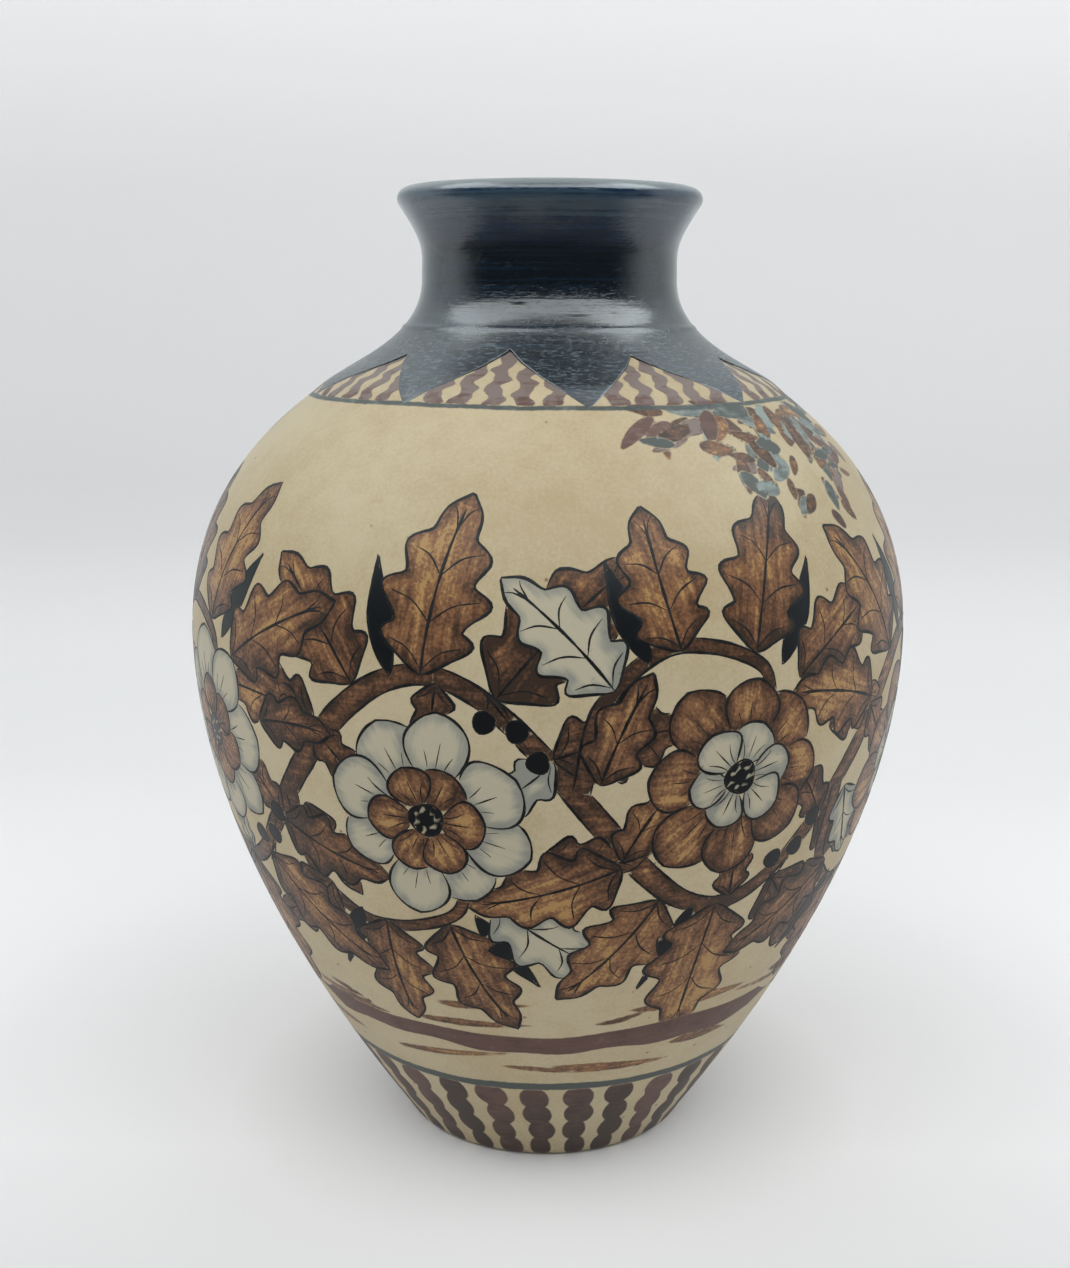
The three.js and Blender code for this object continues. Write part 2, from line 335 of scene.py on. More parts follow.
def ribbon_outline(centre, half):
    """Closed outline on both sides of a centre line: centre + n half going out, centre - n half back."""
    along_line = np.gradient(centre, axis=0)
    along_line /= np.maximum(np.linalg.norm(along_line, axis=1), 1e-9)[:, None]
    side = np.stack([-along_line[:, 1], along_line[:, 0]], 1) * half[:, None]
    return np.vstack([centre + side, (centre - side)[::-1]])


def bent_line(length, bend, count):
    """Centre line along +x that rises as a parabola: (L u, bend u^2)."""
    u = np.linspace(0, 1, count)
    return np.stack([length * u, bend * u**2], 1)


def leaf_shape(length, width, bend=0.0, lean=0.8, fullness=0.9, lobes=0):
    """Half width W/2 sin(pi u^lean)^fullness on a bent centre line. Lobes multiply it by
    0.64 + 0.36 sin(pi v^1.8), where v runs once over each of them."""
    count = 64 if lobes else 26
    u = np.linspace(0, 1, count)
    half = width / 2 * np.sin(math.pi * u**lean) ** fullness
    if lobes:
        half *= 0.64 + 0.36 * np.sin(math.pi * (lobes * u % 1) ** 1.8)
    half[[0, -1]] = BLUNT
    return ribbon_outline(bent_line(length, bend, count), half)


def disc_shape(radius):
    """Circle of 22 points whose radius wavers: r (1 + 0.06 sin 3a)."""
    angle = np.linspace(0, math.tau, 22, endpoint=False)
    waver = radius * (1 + 0.06 * np.sin(3 * angle + rng.uniform(0, 6)))
    return waver[:, None] * np.stack([np.cos(angle), np.sin(angle)], 1)


print("a leaf of 40 x 20 mm spans", np.ptp(leaf_shape(40, 20), 0).round(1), "mm")


# %% Paths of the pen and of thin stems
def smooth_path(points, count=60):
    """Catmull-Rom curve through the points, sampled evenly in its parameter."""
    p = np.array(points, float)
    p = np.vstack([2 * p[0] - p[1], p, 2 * p[-1] - p[-2]])
    t = np.linspace(0, len(p) - 3 - 1e-6, count)
    i, f = t.astype(int), (t % 1)[:, None]
    a, b, c, d = p[i], p[i + 1], p[i + 2], p[i + 3]
    return 0.5 * (2 * b + (c - a) * f + (2 * a - 5 * b + 4 * c - d) * f**2 + (3 * b - a - 3 * c + d) * f**3)


def curl(radius, turns):
    """Tendril that winds in: radius (1 - 0.8 t) at angle 2 pi turns t, starting from the origin."""
    t = np.linspace(0, 1, 40)
    angle = math.tau * turns * t
    spiral = (radius * (1 - 0.8 * t))[:, None] * np.stack([np.cos(angle), np.sin(angle)], 1)
    return spiral - spiral[0]


print("a tendril of 5 mm spans", np.ptp(curl(5, 1.3), 0).round(1), "mm")

# %% [markdown]
# ## The frieze
# A scrolling stem runs round the belly in four waves. A blossom fills each bay, and lobed leaves turn
# out from the stem. It is a generic ornament, in the brown glaze, the pale wash, the black and the
# fine lines that this ware is painted with. It is laid as a painter would: stems, then leaves, then
# the blossoms that cover them.

# %% Where the stem runs
WAVES = 4
FIRST_CREST = math.radians(-17)
FRIEZE_MIDDLE = at_height(127)
STEM_RISE = 33
HALF_WAVE = math.tau / WAVES / 2
print(f"a bay is {BELLY_RADIUS * HALF_WAVE:.0f} mm wide")


def stem_at(phi):
    """Arc length of the stem's centre line: middle + rise cos(waves (phi - first crest))."""
    return FRIEZE_MIDDLE + STEM_RISE * np.cos(WAVES * (phi - FIRST_CREST))


# %% A stem, and a leaf with its veins
def lay_stem(anchor, centre, half, tone):
    """A stem with a pen line along each side and open ends."""
    shape = ribbon_outline(centre, half)
    lay(anchor, shape, "brown", tone, 0)
    draw(anchor, shape[: len(centre)], OUTLINE)
    draw(anchor, shape[len(centre) :], OUTLINE)


def lay_leaf(anchor, angle, length, width, bend, paint, tone, lobes):
    """A leaf with its midrib, and two veins to each lobe that start on the midrib's parabola."""
    lean, fullness = 0.72, 0.8
    shape = leaf_shape(length, width, bend, lean, fullness, lobes)
    lay(anchor, turn(shape, angle), paint, tone, BOLD, angle, length * 0.5)
    draw(anchor, turn(bent_line(length * 0.9, bend * 0.9**2, 26), angle), BOLD)
    for k in range(lobes):
        start, end = (k + 0.1) / lobes, min((k + 0.66) / lobes, 0.97)
        root = np.array([length * start, bend * start**2])
        reach = width * 0.40 * math.sin(math.pi * end**lean) ** fullness
        for side in (-1, 1):
            tip = np.array([length * end, bend * end**2 + side * reach])
            middle = (root + tip) / 2 + [length * 0.03, -0.05 * side * reach]
            draw(anchor, turn(smooth_path([root, middle, tip], 8), angle), VEIN)


# %% A blossom
STAMENS = 7


def lay_blossom(anchor, radius, outer, inner, petals, start):
    """Two rings of petals about a black heart with pale stamens."""
    for ring, paint, count, base, reach in (
        (0, outer, petals, 0.30, 0.72),
        (1, inner, petals - 2, 0.12, 0.44),
    ):
        for k in rng.permutation(count):
            angle = start + 360 * k / count + 180 / count * ring + rng.uniform(-6, 6)
            length = radius * reach * rng.uniform(0.88, 1.1)
            width = math.tau * radius * (base + reach * 0.6) / count * rng.uniform(1.02, 1.26)
            petal = leaf_shape(length, width, rng.uniform(-3, 3), lean=1.35, fullness=0.62)
            place = turn(petal + [radius * base, 0], angle)
            deep = radius * (base + 0.3 * reach)
            lay(anchor, place, paint, rng.uniform(-0.25, 0.35), OUTLINE, angle, deep)
            for side in (-1, 0, 1):
                vein = bent_line(length * (0.6 - 0.14 * abs(side)), 2.4 * side, 10)
                draw(anchor, turn(vein + [radius * base + 1, 1.4 * side], angle), HAIR)
    lay(anchor, disc_shape(radius * 0.17), "black", 0, VEIN)
    for k in range(STAMENS):
        spot = disc_shape(0.7) + turn(np.array([[radius * 0.1, 0]]), 360 * k / STAMENS)
        lay(anchor, spot, "pale", -0.4, 0)


# %% What grows in one bay
LEAVES = (  # root x and y from the bay's middle, angle, length, width, bend; mm and degrees
    (-31, 18, 158, 40, 25, 6),
    (-19, 29, 122, 43, 27, 6),
    (0, 33, 88, 46, 29, -4),
    (19, 28, 52, 45, 27, -6),
    (33, 13, 24, 36, 22, -5),
    (-38, -6, 286, 28, 16, 4),
    (-35, -30, 226, 36, 22, -5),
    (-18, -39, 256, 38, 25, 5),
    (3, -37, 286, 42, 26, 6),
    (17, -29, 318, 42, 25, 6),
    (30, -14, 344, 26, 16, 5),
    (-31, 16, 300, 25, 14, 4),
    (33, 12, 232, 25, 14, -4),
    (4, 31, 262, 20, 12, 3),
)
DARK_LEAVES = ((-8, 32, 106, 30, 7), (-26, -36, 242, 27, 7), (11, -33, 300, 29, 7))
CURLS = ((-22, 40, 100, 5.5), (24, 44, 60, 4.5), (40, -26, 250, 5))  # root, angle, radius
BRANCH = np.array([[-42, -4], [-38, -26], [-20, -40], [4, -34], [9, -18]])
BERRY_ROOT = np.array([15.0, 31.0])
BERRIES = BERRY_ROOT + [[1, -9], [9, -11], [14, -19]]
BERRY_RADIUS, BERRY_LINE = 2.9, 0.25
BLOSSOM_RADIUS, PETALS, BLOSSOM_DROP = 27, 8, 5  # its middle lies this far from the bay's
PALE_LEAVES = 0.07  # share of the leaves
print(len(LEAVES) + len(DARK_LEAVES), "leaves in each of", 2 * WAVES, "bays")


# %% The leaves and the flowers of one bay
def lay_bay_leaves(phi, up):
    """One half wave: a branch from the stem, tendrils, narrow black leaves and lobed leaves. In every
    other bay up is -1, which turns it upside down."""
    branch = smooth_path(BRANCH * [1, up])
    lay_stem((phi, FRIEZE_MIDDLE), branch, np.linspace(2.3, 1.3, len(branch)), 0.6)
    for root_x, root_y, angle, radius in CURLS:
        place = (phi + root_x / BELLY_RADIUS, FRIEZE_MIDDLE + root_y * up)
        draw(place, turn(curl(radius, 1.3), angle) * [1, up], FINE)
    for root_x, root_y, angle, length, width in DARK_LEAVES:
        place = (phi + root_x / BELLY_RADIUS, FRIEZE_MIDDLE + root_y * up)
        lay(place, turn(leaf_shape(length, width, rng.uniform(-3, 3), fullness=1.2), angle * up), "black")
    for root_x, root_y, angle, length, width, bend in LEAVES:
        place = (phi + root_x / BELLY_RADIUS, FRIEZE_MIDDLE + root_y * up)
        size = rng.uniform(0.92, 1.1)
        paint = "pale" if rng.random() < PALE_LEAVES else "brown"
        lobes = 4 if length > 30 else 3
        lay_leaf(place, angle * up + rng.uniform(-8, 8), length * size, width * size, bend * up, paint,
                 rng.uniform(-0.5, 0.55), lobes)


def lay_bay_flowers(index, phi, up):
    """The blossom in a half wave, and three berries by the stem."""
    outer, inner = ("pale", "brown") if index % 4 in (0, 3) else ("brown", "pale")
    middle = (phi, FRIEZE_MIDDLE - BLOSSOM_DROP * up)
    lay_blossom(middle, BLOSSOM_RADIUS, outer, inner, PETALS, rng.uniform(0, 45))
    for k, berry in enumerate(BERRIES):
        stalk = smooth_path([BERRY_ROOT, (BERRY_ROOT + berry) / 2 + [1.6 - k, 1.2], berry], 12)
        draw((phi, FRIEZE_MIDDLE), stalk * [1, up], FINE)
    for berry in BERRIES:
        fruit = disc_shape(BERRY_RADIUS) + berry * [1, up]
        lay((phi, FRIEZE_MIDDLE), fruit, "black", 0, BERRY_LINE)


# %% Lay the dry streaks above and below the ground stroke
GROUND_LINE = at_height(51.5)
STREAKS = 34
streak_rng = np.random.default_rng(5)
for k in range(STREAKS):
    size = (streak_rng.uniform(14, 44), streak_rng.uniform(2, 4.5), streak_rng.uniform(-3, 3))
    streak = turn(leaf_shape(*size), streak_rng.uniform(-7, 9))
    rise = streak_rng.uniform(5, 15) if k % 3 else streak_rng.uniform(-12, -5)
    phi = math.tau * k / STREAKS + streak_rng.uniform(-0.1, 0.1)
    lay((phi, GROUND_LINE + rise), streak, "brown", streak_rng.uniform(-1.4, -0.5), 0)
print(len(marks), "streaks")

# %% Lay the stem, the leaves and the blossoms
bays = [(index, FIRST_CREST + index * HALF_WAVE, (-1) ** index) for index in range(2 * WAVES)]
for index, _, _ in bays:
    middle = FIRST_CREST + (index + 0.5) * HALF_WAVE
    phi = np.linspace(middle - HALF_WAVE * 0.54, middle + HALF_WAVE * 0.54, 50)
    anchor = (middle, FRIEZE_MIDDLE)
    lay_stem(anchor, to_local(phi, stem_at(phi), anchor), 2.8 + 0.4 * np.sin(8 * phi), 0.35)
for _, phi, up in bays:
    lay_bay_leaves(phi, up)
for bay in bays:
    lay_bay_flowers(*bay)
print(len(marks), "marks and", len(lines), "pen lines")

# %% Lay the loose dabs under the shoulder line, thick in the middle and thinner to the sides
SHOULDER_LINE = at_height(221.8)
LOOSE_DABS = 95
for middle in np.radians([52, 232]):
    for k in range(LOOSE_DABS):
        sideways = rng.normal(0, 15)  # degrees
        drop = 1.5 + rng.uniform(0, 1) ** 1.5 * (38 - 0.85 * abs(sideways))
        size = rng.uniform(0.75, 1.3) * (1.35 - drop / 50)
        width = rng.uniform(3.6, 5.6) * min(size, 1.1)
        shape = leaf_shape(10 * size, width, rng.uniform(-2, 2), fullness=0.6)
        paint = ("brown", "blue", "plum", "brown", "blue")[int(rng.integers(0, 5))]
        place = (middle + math.radians(sideways), SHOULDER_LINE - drop)
        lay(place, turn(shape, rng.uniform(150, 350)), paint, rng.uniform(-1.2, 0.6), 0)
print(len(marks), "marks with the dabs")

# %% [markdown]
# ## Bands and stripes
# The shoulder line, the low line and the ground stroke are bands of constant height that waver a
# little. The stripes under the enamel wave from side to side, and each starts with a blob of the
# brush. Those at the foot are four dabs of a round brush, one under the other, so each is a row of
# ellipses and its edge is scalloped. They repeat too often to be laid as marks, so each is a
# distance worked out for all vertices at once.

# %% Measures of the bands and stripes
POINTS = 9
TIPS = np.radians([8.5, 48.75, 88, 128.5, 167, 207.5, 247, 286.75, 326.75])  # as the painter spaced them
STRIPES_PER_WINDOW = 5
LOW_LINE = at_height(33)
SHOULDER_HALF, LOW_HALF, GROUND_HALF = 0.85, 1.5, 3.9  # half widths in mm
FOOT_STRIPES = 31
FOOT_TURN = math.radians(8.7)
FOOT_LEAN = math.radians(2.4)
DABS = 4
DAB_PITCH = (LOW_LINE - at_height(1.5)) / DABS
print(f"the dabs of a foot stripe are {DAB_PITCH:.1f} mm apart")


def waver(phi, seed, size):
    """Sum of three sines of the azimuth, so that it closes on itself."""
    a, b, c = np.random.default_rng(seed).uniform(0, math.tau, 3)
    return size * (np.sin(3 * phi + a) + 0.5 * np.sin(8 * phi + b) + 0.3 * np.sin(19 * phi + c))


def evened(phi):
    """Azimuth from the first tip, stretched so that the tips come out evenly spaced."""
    tips = np.append(TIPS - TIPS[0], math.tau)
    return np.interp((phi - TIPS[0]) % math.tau, tips, np.arange(POINTS + 1) * math.tau / POINTS)


def nearest_stripe(phi, count, first):
    """Index of the nearest of count stripes, and the azimuth from it."""
    pitch = math.tau / count
    index = np.round((phi - first) / pitch)
    return index % count, phi - first - index * pitch


def ground_stroke(phi, s):
    """Distance into the ground stroke. The brush leaves the pot three times."""
    lifted = 3.6 * np.clip(np.cos(3 * phi + math.pi) * 14 - 13, 0, 1)
    half = GROUND_HALF + waver(phi, 4, 0.7) - lifted
    return half - np.abs(s - GROUND_LINE - waver(phi, 5, 1.1))


# %% Stripes in the windows between the enamel's points, and at the foot
def window_stripes(phi, s, radius):
    """Distance into the wavy stripes, half - |x - wave|, and into the blob at each one's lower end. The
    stripe that would lie under a point of the enamel is left out."""
    index, turned_by = nearest_stripe(evened(phi), POINTS * (STRIPES_PER_WINDOW + 1), 0)
    wave = 0.9 * np.sin(math.tau * s / 8.7 + 2.1 * index) + 0.25 * np.sin(math.tau * s / 3.9 + index)
    half = 2.1 + 0.35 * np.sin(math.tau * s / 5.2 + 1.7 * index)
    across = turned_by * radius - wave
    blob = 2.7 + 0.25 * np.sin(1.3 * index) - np.hypot(across, s - SHOULDER_LINE - 2.2)
    window = np.maximum(np.minimum(half - np.abs(across), s - SHOULDER_LINE), blob)
    return np.where(index % (STRIPES_PER_WINDOW + 1) == 0, FAR, window), blob


def foot_stripes(phi, s, radius):
    """Distance into the dabs, (1 - |offset / half axes|) half width, and each stripe's tone."""
    down = np.clip((LOW_LINE - s) / (LOW_LINE - at_height(1.5)), 0, 1)
    index, turned_by = nearest_stripe(phi - FOOT_LEAN * down, FOOT_STRIPES, FOOT_TURN)
    foot = np.full(len(phi), FAR)
    for dab in range(DABS):
        middle = LOW_LINE - 1.2 - DAB_PITCH * (dab + 0.5) + 0.7 * np.sin(2.7 * index + dab)
        sideways = 0.55 * np.sin(4.1 * index + 2.3 * dab)
        half = 4.5 - 0.42 * dab + 0.3 * np.sin(3.3 * index + 1.9 * dab)
        reach = np.hypot((turned_by * radius - sideways) / half, (s - middle) / (DAB_PITCH * 0.62))
        foot = np.maximum(foot, (1 - reach) * half)
    return np.minimum(foot, LOW_LINE - s), 0.2 + 0.45 * np.sin(2.3 * index) + 0.6 * down


# %% Bands over the frieze, and the numbers that each vertex stores
def paint_bands(wall, phi, s):
    """Adds the bands and stripes to the distances of the frieze."""
    radius = profile(s)[0]
    shoulder_band = SHOULDER_HALF - np.abs(s - SHOULDER_LINE - waver(phi, 1, 0.25))
    low_band = LOW_HALF + waver(phi, 2, 0.12) - np.abs(s - LOW_LINE - waver(phi, 3, 0.2))
    ground = ground_stroke(phi, s)
    window, blob = window_stripes(phi, s, radius)
    foot, foot_tone = foot_stripes(phi, s, radius)
    wall["plum"] = np.maximum.reduce([wall["plum"], ground, window, foot])
    wall["blue"] = np.maximum.reduce([wall["blue"], shoulder_band, low_band])
    for name in ("brown", "pale", "black"):
        wall[name] = np.minimum(wall[name], -np.maximum(ground, low_band))
    wall["plum"] = np.minimum(wall["plum"], -np.maximum(shoulder_band, low_band))
    for painted_here, tone in (
        (foot > -0.5, foot_tone),
        (ground > 0, -0.1),
        (low_band > -0.5, -0.9),
        (window > -0.5, -0.85 + 0.3 * (blob > 0.4)),
        (shoulder_band > -0.4, -0.3),
    ):
        wall["tone"] = np.where(painted_here, tone, wall["tone"])
    return wall


def paint_piece(piece, phi, s, outside):
    """Stores the distances on a wall piece. Vertices that are not outside stay bare."""
    count = len(piece.data.vertices)
    wall = paint_bands(paint_wall(phi, s), phi, s)
    for name, values in wall.items():
        stored = np.full((count, *values.shape[1:]), FAR if name in PAINTS else 0.0, np.float32)
        stored[outside] = values
        kind, field = ("FLOAT_VECTOR", "vector") if name == "stroke" else ("FLOAT", "value")
        piece.data.attributes.new(name, kind, "POINT").data.foreach_set(field, stored.ravel())


# %% [markdown]
# ## Materials
# Stoneware clay fires to a warm buff with iron specks. The brown is a thin iron and manganese glaze:
# it breaks to ochre where it is thin, and goes dark where it pools near an outline. Plum and blue are
# matt slips. The enamel is a thick glossy black-blue glass that keeps the brush's turning marks.
# Painted pictures could give all this, but noises on the pot's own coordinates have no seam. A noise
# of scale n changes about every 1000 / n mm, because the mesh is in metres.

# %% Colours
CLAY_LIGHT, CLAY_WARM, CLAY_BARE, CLAY_GROG = "#C5B797", "#B5A37F", "#AA9A78", "#9C875F"
IRON_SPECK = "#6B4B30"
BROWN_THIN, BROWN_MIDDLE, BROWN_DEEP, BROWN_POOLED = "#AE8855", "#80593D", "#573A2A", "#32221B"
PALE_WASH, PALE_POOLED = "#B9B39D", "#7E8582"
PLUM_THIN, PLUM, PLUM_DARK = "#7A6C69", "#5B3D3A", "#2E1D20"
BLUE_GREY, BLUE_SOFT = "#3D4849", "#8A9896"
BLACK, PEN_DARK, PEN_DRY = "#15181B", "#0F1214", "#26292B"
ENAMEL, ENAMEL_THIN, ENAMEL_STREAK = "#08141B", "#142D45", "#334857"
ENAMEL_DRY, ENAMEL_RIM, ENAMEL_PIT_PAINTED_SHADE = "#55636B", "#6E7678", "#171512"
LINING, LINING_DARK = "#5A3A22", "#2C1B12"


def linear(code):
    """sRGB hex to linear: c/12.92 below 0.04045, else ((c+0.055)/1.055)^2.4."""
    parts = [int(code[i : i + 2], 16) / 255 for i in (1, 3, 5)]
    return [c / 12.92 if c <= 0.04045 else ((c + 0.055) / 1.055) ** 2.4 for c in parts] + [1.0]


print("light clay in linear values:", [round(part, 3) for part in linear(CLAY_LIGHT)])


# %% Helpers that add nodes to the tree at hand
def add(kind, inputs=(), out=0, stops=(), **settings):
    """Adds a node to tree with its settings, sets or links its inputs by name or number, gives a colour
    ramp its smooth stops {place: hex}, and returns one output, or all of them where out is None."""
    node = tree.nodes.new("ShaderNode" + kind)
    for name, value in settings.items():
        setattr(node, name, value)
    for socket, value in dict(inputs).items():
        if isinstance(value, bpy.types.NodeSocket):
            tree.links.new(value, node.inputs[socket])
        else:
            node.inputs[socket].default_value = value
    if stops:
        node.color_ramp.interpolation = "EASE"
        while len(node.color_ramp.elements) < len(stops):
            node.color_ramp.elements.new(0.5)
        for element, (place, code) in zip(node.color_ramp.elements, sorted(stops.items())):
            element.position = place
            element.color = linear(code)
    return node.outputs if out is None else node.outputs[out]


def weighted(*terms):
    """Sum of socket times weight, where a weight may be a socket too. The last term is added as it is."""
    total = terms[-1]
    for socket, weight in terms[:-1]:
        total = add("Math", {0: socket, 1: weight, 2: total}, operation="MULTIPLY_ADD")
    return total


def new_material(name):
    """Empty material, its node tree and the place on the object, in metres."""
    global tree
    material = bpy.data.materials.new(name)
    material.use_nodes = True
    tree = material.node_tree
    tree.nodes.clear()
    return material, add("TexCoord", out="Object")


# %% Painted stoneware: the patterns that break its paints up
# On the pot: fired clay under thin matt glazes and slips. The eye sees a soft satin that is never
# quite even: every paint mottles and streaks along the brush, and the glazes darken at their edge.
painted, place = new_material("painted_stoneware")
tone = add("Attribute", out="Fac", attribute_name="tone")
stroke = add("Attribute", out="Vector", attribute_name="stroke")
streaked = add("Mapping", {"Vector": stroke, "Scale": (0.07, 0.55, 1)})
grain, mottle, cloud, brush, ragged = [
    add("TexNoise", {"Vector": where, "Scale": scale, "Detail": detail, "Roughness": roughness})
    for where, scale, detail, roughness in (
        (place, 1100, 2, 0.6),  # 0.9 mm: the clay's grain
        (place, 170, 4, 0.62),  # 6 mm: the mottle of a brushed glaze
        (place, 26, 3, 0.55),  # 38 mm: the kiln's clouds
        (streaked, 1, 3, 0.6),  # 14 mm along a brush stroke and 2 mm across
        (place, 420, 3, 0.65),  # 2.4 mm: the ragged edge of a paint
    )
]


def mask(name, softness, raggedness):
    """Smooth step over the paint's distance in millimetres, after noise has made its edge ragged."""
    distance = add("Attribute", out="Fac", attribute_name=name)
    moved = weighted((ragged, raggedness), (distance, 1), -raggedness / 2)
    edge = {"Value": moved, "From Min": -softness, "From Max": softness}
    return add("MapRange", edge, interpolation_type="SMOOTHSTEP"), distance


# %% Clay with its iron specks
clay_share = weighted((cloud, 0.9), (mottle, 0.5), (grain, 0.55), -0.48)
clay = add("ValToRGB", {0: clay_share}, stops={0.2: CLAY_WARM, 0.75: CLAY_LIGHT})
cells = add("TexVoronoi", {"Vector": place, "Scale": 210}, out=None)  # 5 mm cells, dots 0.5 mm wide
dot = add("MapRange", {"Value": cells["Distance"], "From Min": 0.14, "From Max": 0.05, "To Max": 0.75})
cell_red = add("SeparateColor", {0: cells["Color"]})
few = add("Math", {0: cell_red, 1: 0.86}, operation="GREATER_THAN")  # one cell in seven has a speck
speck = weighted((dot, few), 0)
clay = add("Mix", {0: speck, 6: clay, 7: linear(IRON_SPECK)}, out=2, data_type="RGBA")

# %% Paints in the order in which they lie
PAINT_LAYERS = (
    # paint, its edge's softness and raggedness in mm, how much of the clay it hides, darkness and width
    # in mm of its pooled edge, what makes it darker, colours from thin to thick
    ("pale", 0.25, 0.6, 0.8, (0.6, 4.5), ((brush, 0.9), (mottle, 0.35), (tone, 0.3), -0.62),
     {0.1: PALE_WASH, 0.8: PALE_POOLED}),
    ("brown", 0.3, 0.9, 0.97, (0.372, 3.4),
     ((brush, 1.5), (mottle, 0.9), (grain, 1.1), (cloud, 0.9), (tone, 0.27), -1.82),
     {0.05: BROWN_THIN, 0.4: BROWN_MIDDLE, 0.72: BROWN_DEEP, 1: BROWN_POOLED}),
    ("blue", 0.3, 0.8, 0.94, None, ((mottle, 1), (brush, 0.5), (tone, 0.5), -0.3),
     {0.25: BLUE_GREY, 0.75: BLUE_SOFT}),
    ("plum", 0.22, 0.5, 0.94, None, ((mottle, 0.8), (brush, 0.6), (tone, 0.5), -0.25),
     {0.02: PLUM_THIN, 0.32: PLUM, 0.85: PLUM_DARK}),
)
colour = clay
masks = {}
for paint, softness, raggedness, cover, pooled, terms, stops in PAINT_LAYERS:
    masks[paint], distance = mask(paint, softness, raggedness)
    share = weighted(*terms)
    if pooled:
        edge = {"Value": distance, "From Min": 0.2, "From Max": pooled[1], "To Min": pooled[0], "To Max": 0}
        share = weighted((add("MapRange", edge, interpolation_type="SMOOTHSTEP"), 1), share)
    layer = add("ValToRGB", {0: share}, stops=stops)
    hidden = weighted((masks[paint], cover), 0)
    colour = add("Mix", {0: hidden, 6: colour, 7: layer}, out=2, data_type="RGBA")
masks["black"] = mask("black", 0.2, 0.4)[0]
colour = add("Mix", {0: masks["black"], 6: colour, 7: linear(BLACK)}, out=2, data_type="RGBA")

glazed = add("Math", {0: masks["brown"], 1: masks["black"]}, operation="MAXIMUM")
rough = weighted((grain, 0.12), (mottle, 0.1), (glazed, -0.08), 0.31)
relief = weighted((grain, 0.35), (mottle, 0.3), (glazed, 0.5), (masks["plum"], 0.35), 0)
bump = add("Bump", {"Height": relief, "Strength": 0.35, "Distance": 0.00008})
shader = {"Base Color": colour, "Roughness": rough, "IOR": 1.33, "Normal": bump}
add("OutputMaterial", {"Surface": add("BsdfPrincipled", shader)}, out=None)
print("painted stoneware:", len(tree.nodes), "nodes")

# %% Pen line
# On the pot: iron oxide from a fine brush. The eye sees a black that greys where the brush ran dry.
pen, place = new_material("iron_pen_line")
dry = add("TexNoise", {"Vector": place, "Scale": 380, "Detail": 3})  # 2.6 mm along the line
colour = add("ValToRGB", {0: dry}, stops={0.3: PEN_DARK, 0.75: PEN_DRY})
shader = {"Base Color": colour, "Roughness": 0.45, "IOR": 1.33}
add("OutputMaterial", {"Surface": add("BsdfPrincipled", shader)}, out=None)

# %% Dark enamel with turning marks: its patterns
# On the pot: a thick, glassy glaze, brushed on as the pot turned. The eye sees a deep gloss with fine
# level rings, bluer where it is thin at the flare, and dry and scuffed towards its points.
enamel, place = new_material("dark_enamel")
fine_mark, wide_mark, orange_peel, scratch, hair = [
    add("TexNoise", {"Vector": add("Mapping", {"Vector": place, "Rotation": turned_by, "Scale": scale}),
                     "Scale": 1, "Detail": detail, "Roughness": roughness, "Distortion": distortion})
    for turned_by, scale, detail, roughness, distortion in (
        ((0, 0, 0), (9, 9, 900), 3, 0.6, 0),  # level rings 1.1 mm apart
        ((0, 0, 0), (14, 14, 260), 3, 0.6, 0),  # level rings 4 mm apart
        ((0, 0, 0), (300, 300, 300), 2, 0.5, 0),  # 3 mm ripples
        ((0.6, 0.4, 0.2), (240, 240, 240), 4, 0.7, 2),  # 4 mm scuffs
        ((0, 0.12, 0), (420, 420, 2600), 2, 0.5, 0.6),  # hair lines 0.4 mm wide
    )
]
height_up = add("SeparateXYZ", {0: place}, out="Z")
flared, dry, rim = [
    add("MapRange", {"Value": height_up, "From Min": start, "From Max": end}, interpolation_type="SMOOTHSTEP")
    for start, end in ((0.260, 0.273), (0.247, 0.235), (0.2770, 0.2784))  # heights in metres
]
pit = add("Attribute", out="Fac", attribute_name="pit")
# The pits' cores are painted near-black: painted shade in their hollows.
scuffs, hairs, pit_painted_shade = [
    add("MapRange", {"Value": source, "From Min": start, "From Max": end})
    for source, start, end in ((scratch, 0.55, 0.7), (hair, 0.54, 0.7), (pit, 0.3, 0.65))
]
scratched = add("Math", {0: scuffs, 1: hairs}, operation="MAXIMUM")

# %% Dark enamel: its colour, gloss and relief
thin = weighted((fine_mark, 1), (wide_mark, 0.8), (orange_peel, 0.2), (flared, 0.6), -0.72)
colour = add("ValToRGB", {0: thin}, stops={0.2: ENAMEL, 0.8: ENAMEL_THIN, 1: ENAMEL_STREAK})
# Paler grey over the lip's crest, patchy along the wide rings.
rim_paler = weighted((rim, 0.75), (wide_mark, 0.6), -0.3)
rim_paler = add("Math", {0: rim_paler, 1: rim}, operation="MULTIPLY", use_clamp=True)
scuffed = weighted((dry, scratched), 0)
for share, above in ((scuffed, ENAMEL_DRY), (rim_paler, ENAMEL_RIM), (pit_painted_shade, ENAMEL_PIT_PAINTED_SHADE)):
    colour = add("Mix", {0: share, 6: colour, 7: linear(above)}, out=2, data_type="RGBA")
rough = weighted((fine_mark, 0.12), (wide_mark, 0.1), (dry, 0.12), (scratch, 0.06), 0.03)
relief = weighted((fine_mark, 0.5), (wide_mark, 0.8), (orange_peel, 0.35), (scratched, 0.15), 0)
bump = add("Bump", {"Height": relief, "Strength": 0.6, "Distance": 0.0002})
shader = {"Base Color": colour, "Roughness": rough, "IOR": 1.8, "Normal": bump}
add("OutputMaterial", {"Surface": add("BsdfPrincipled", shader)}, out=None)
print("dark enamel:", len(tree.nodes), "nodes")

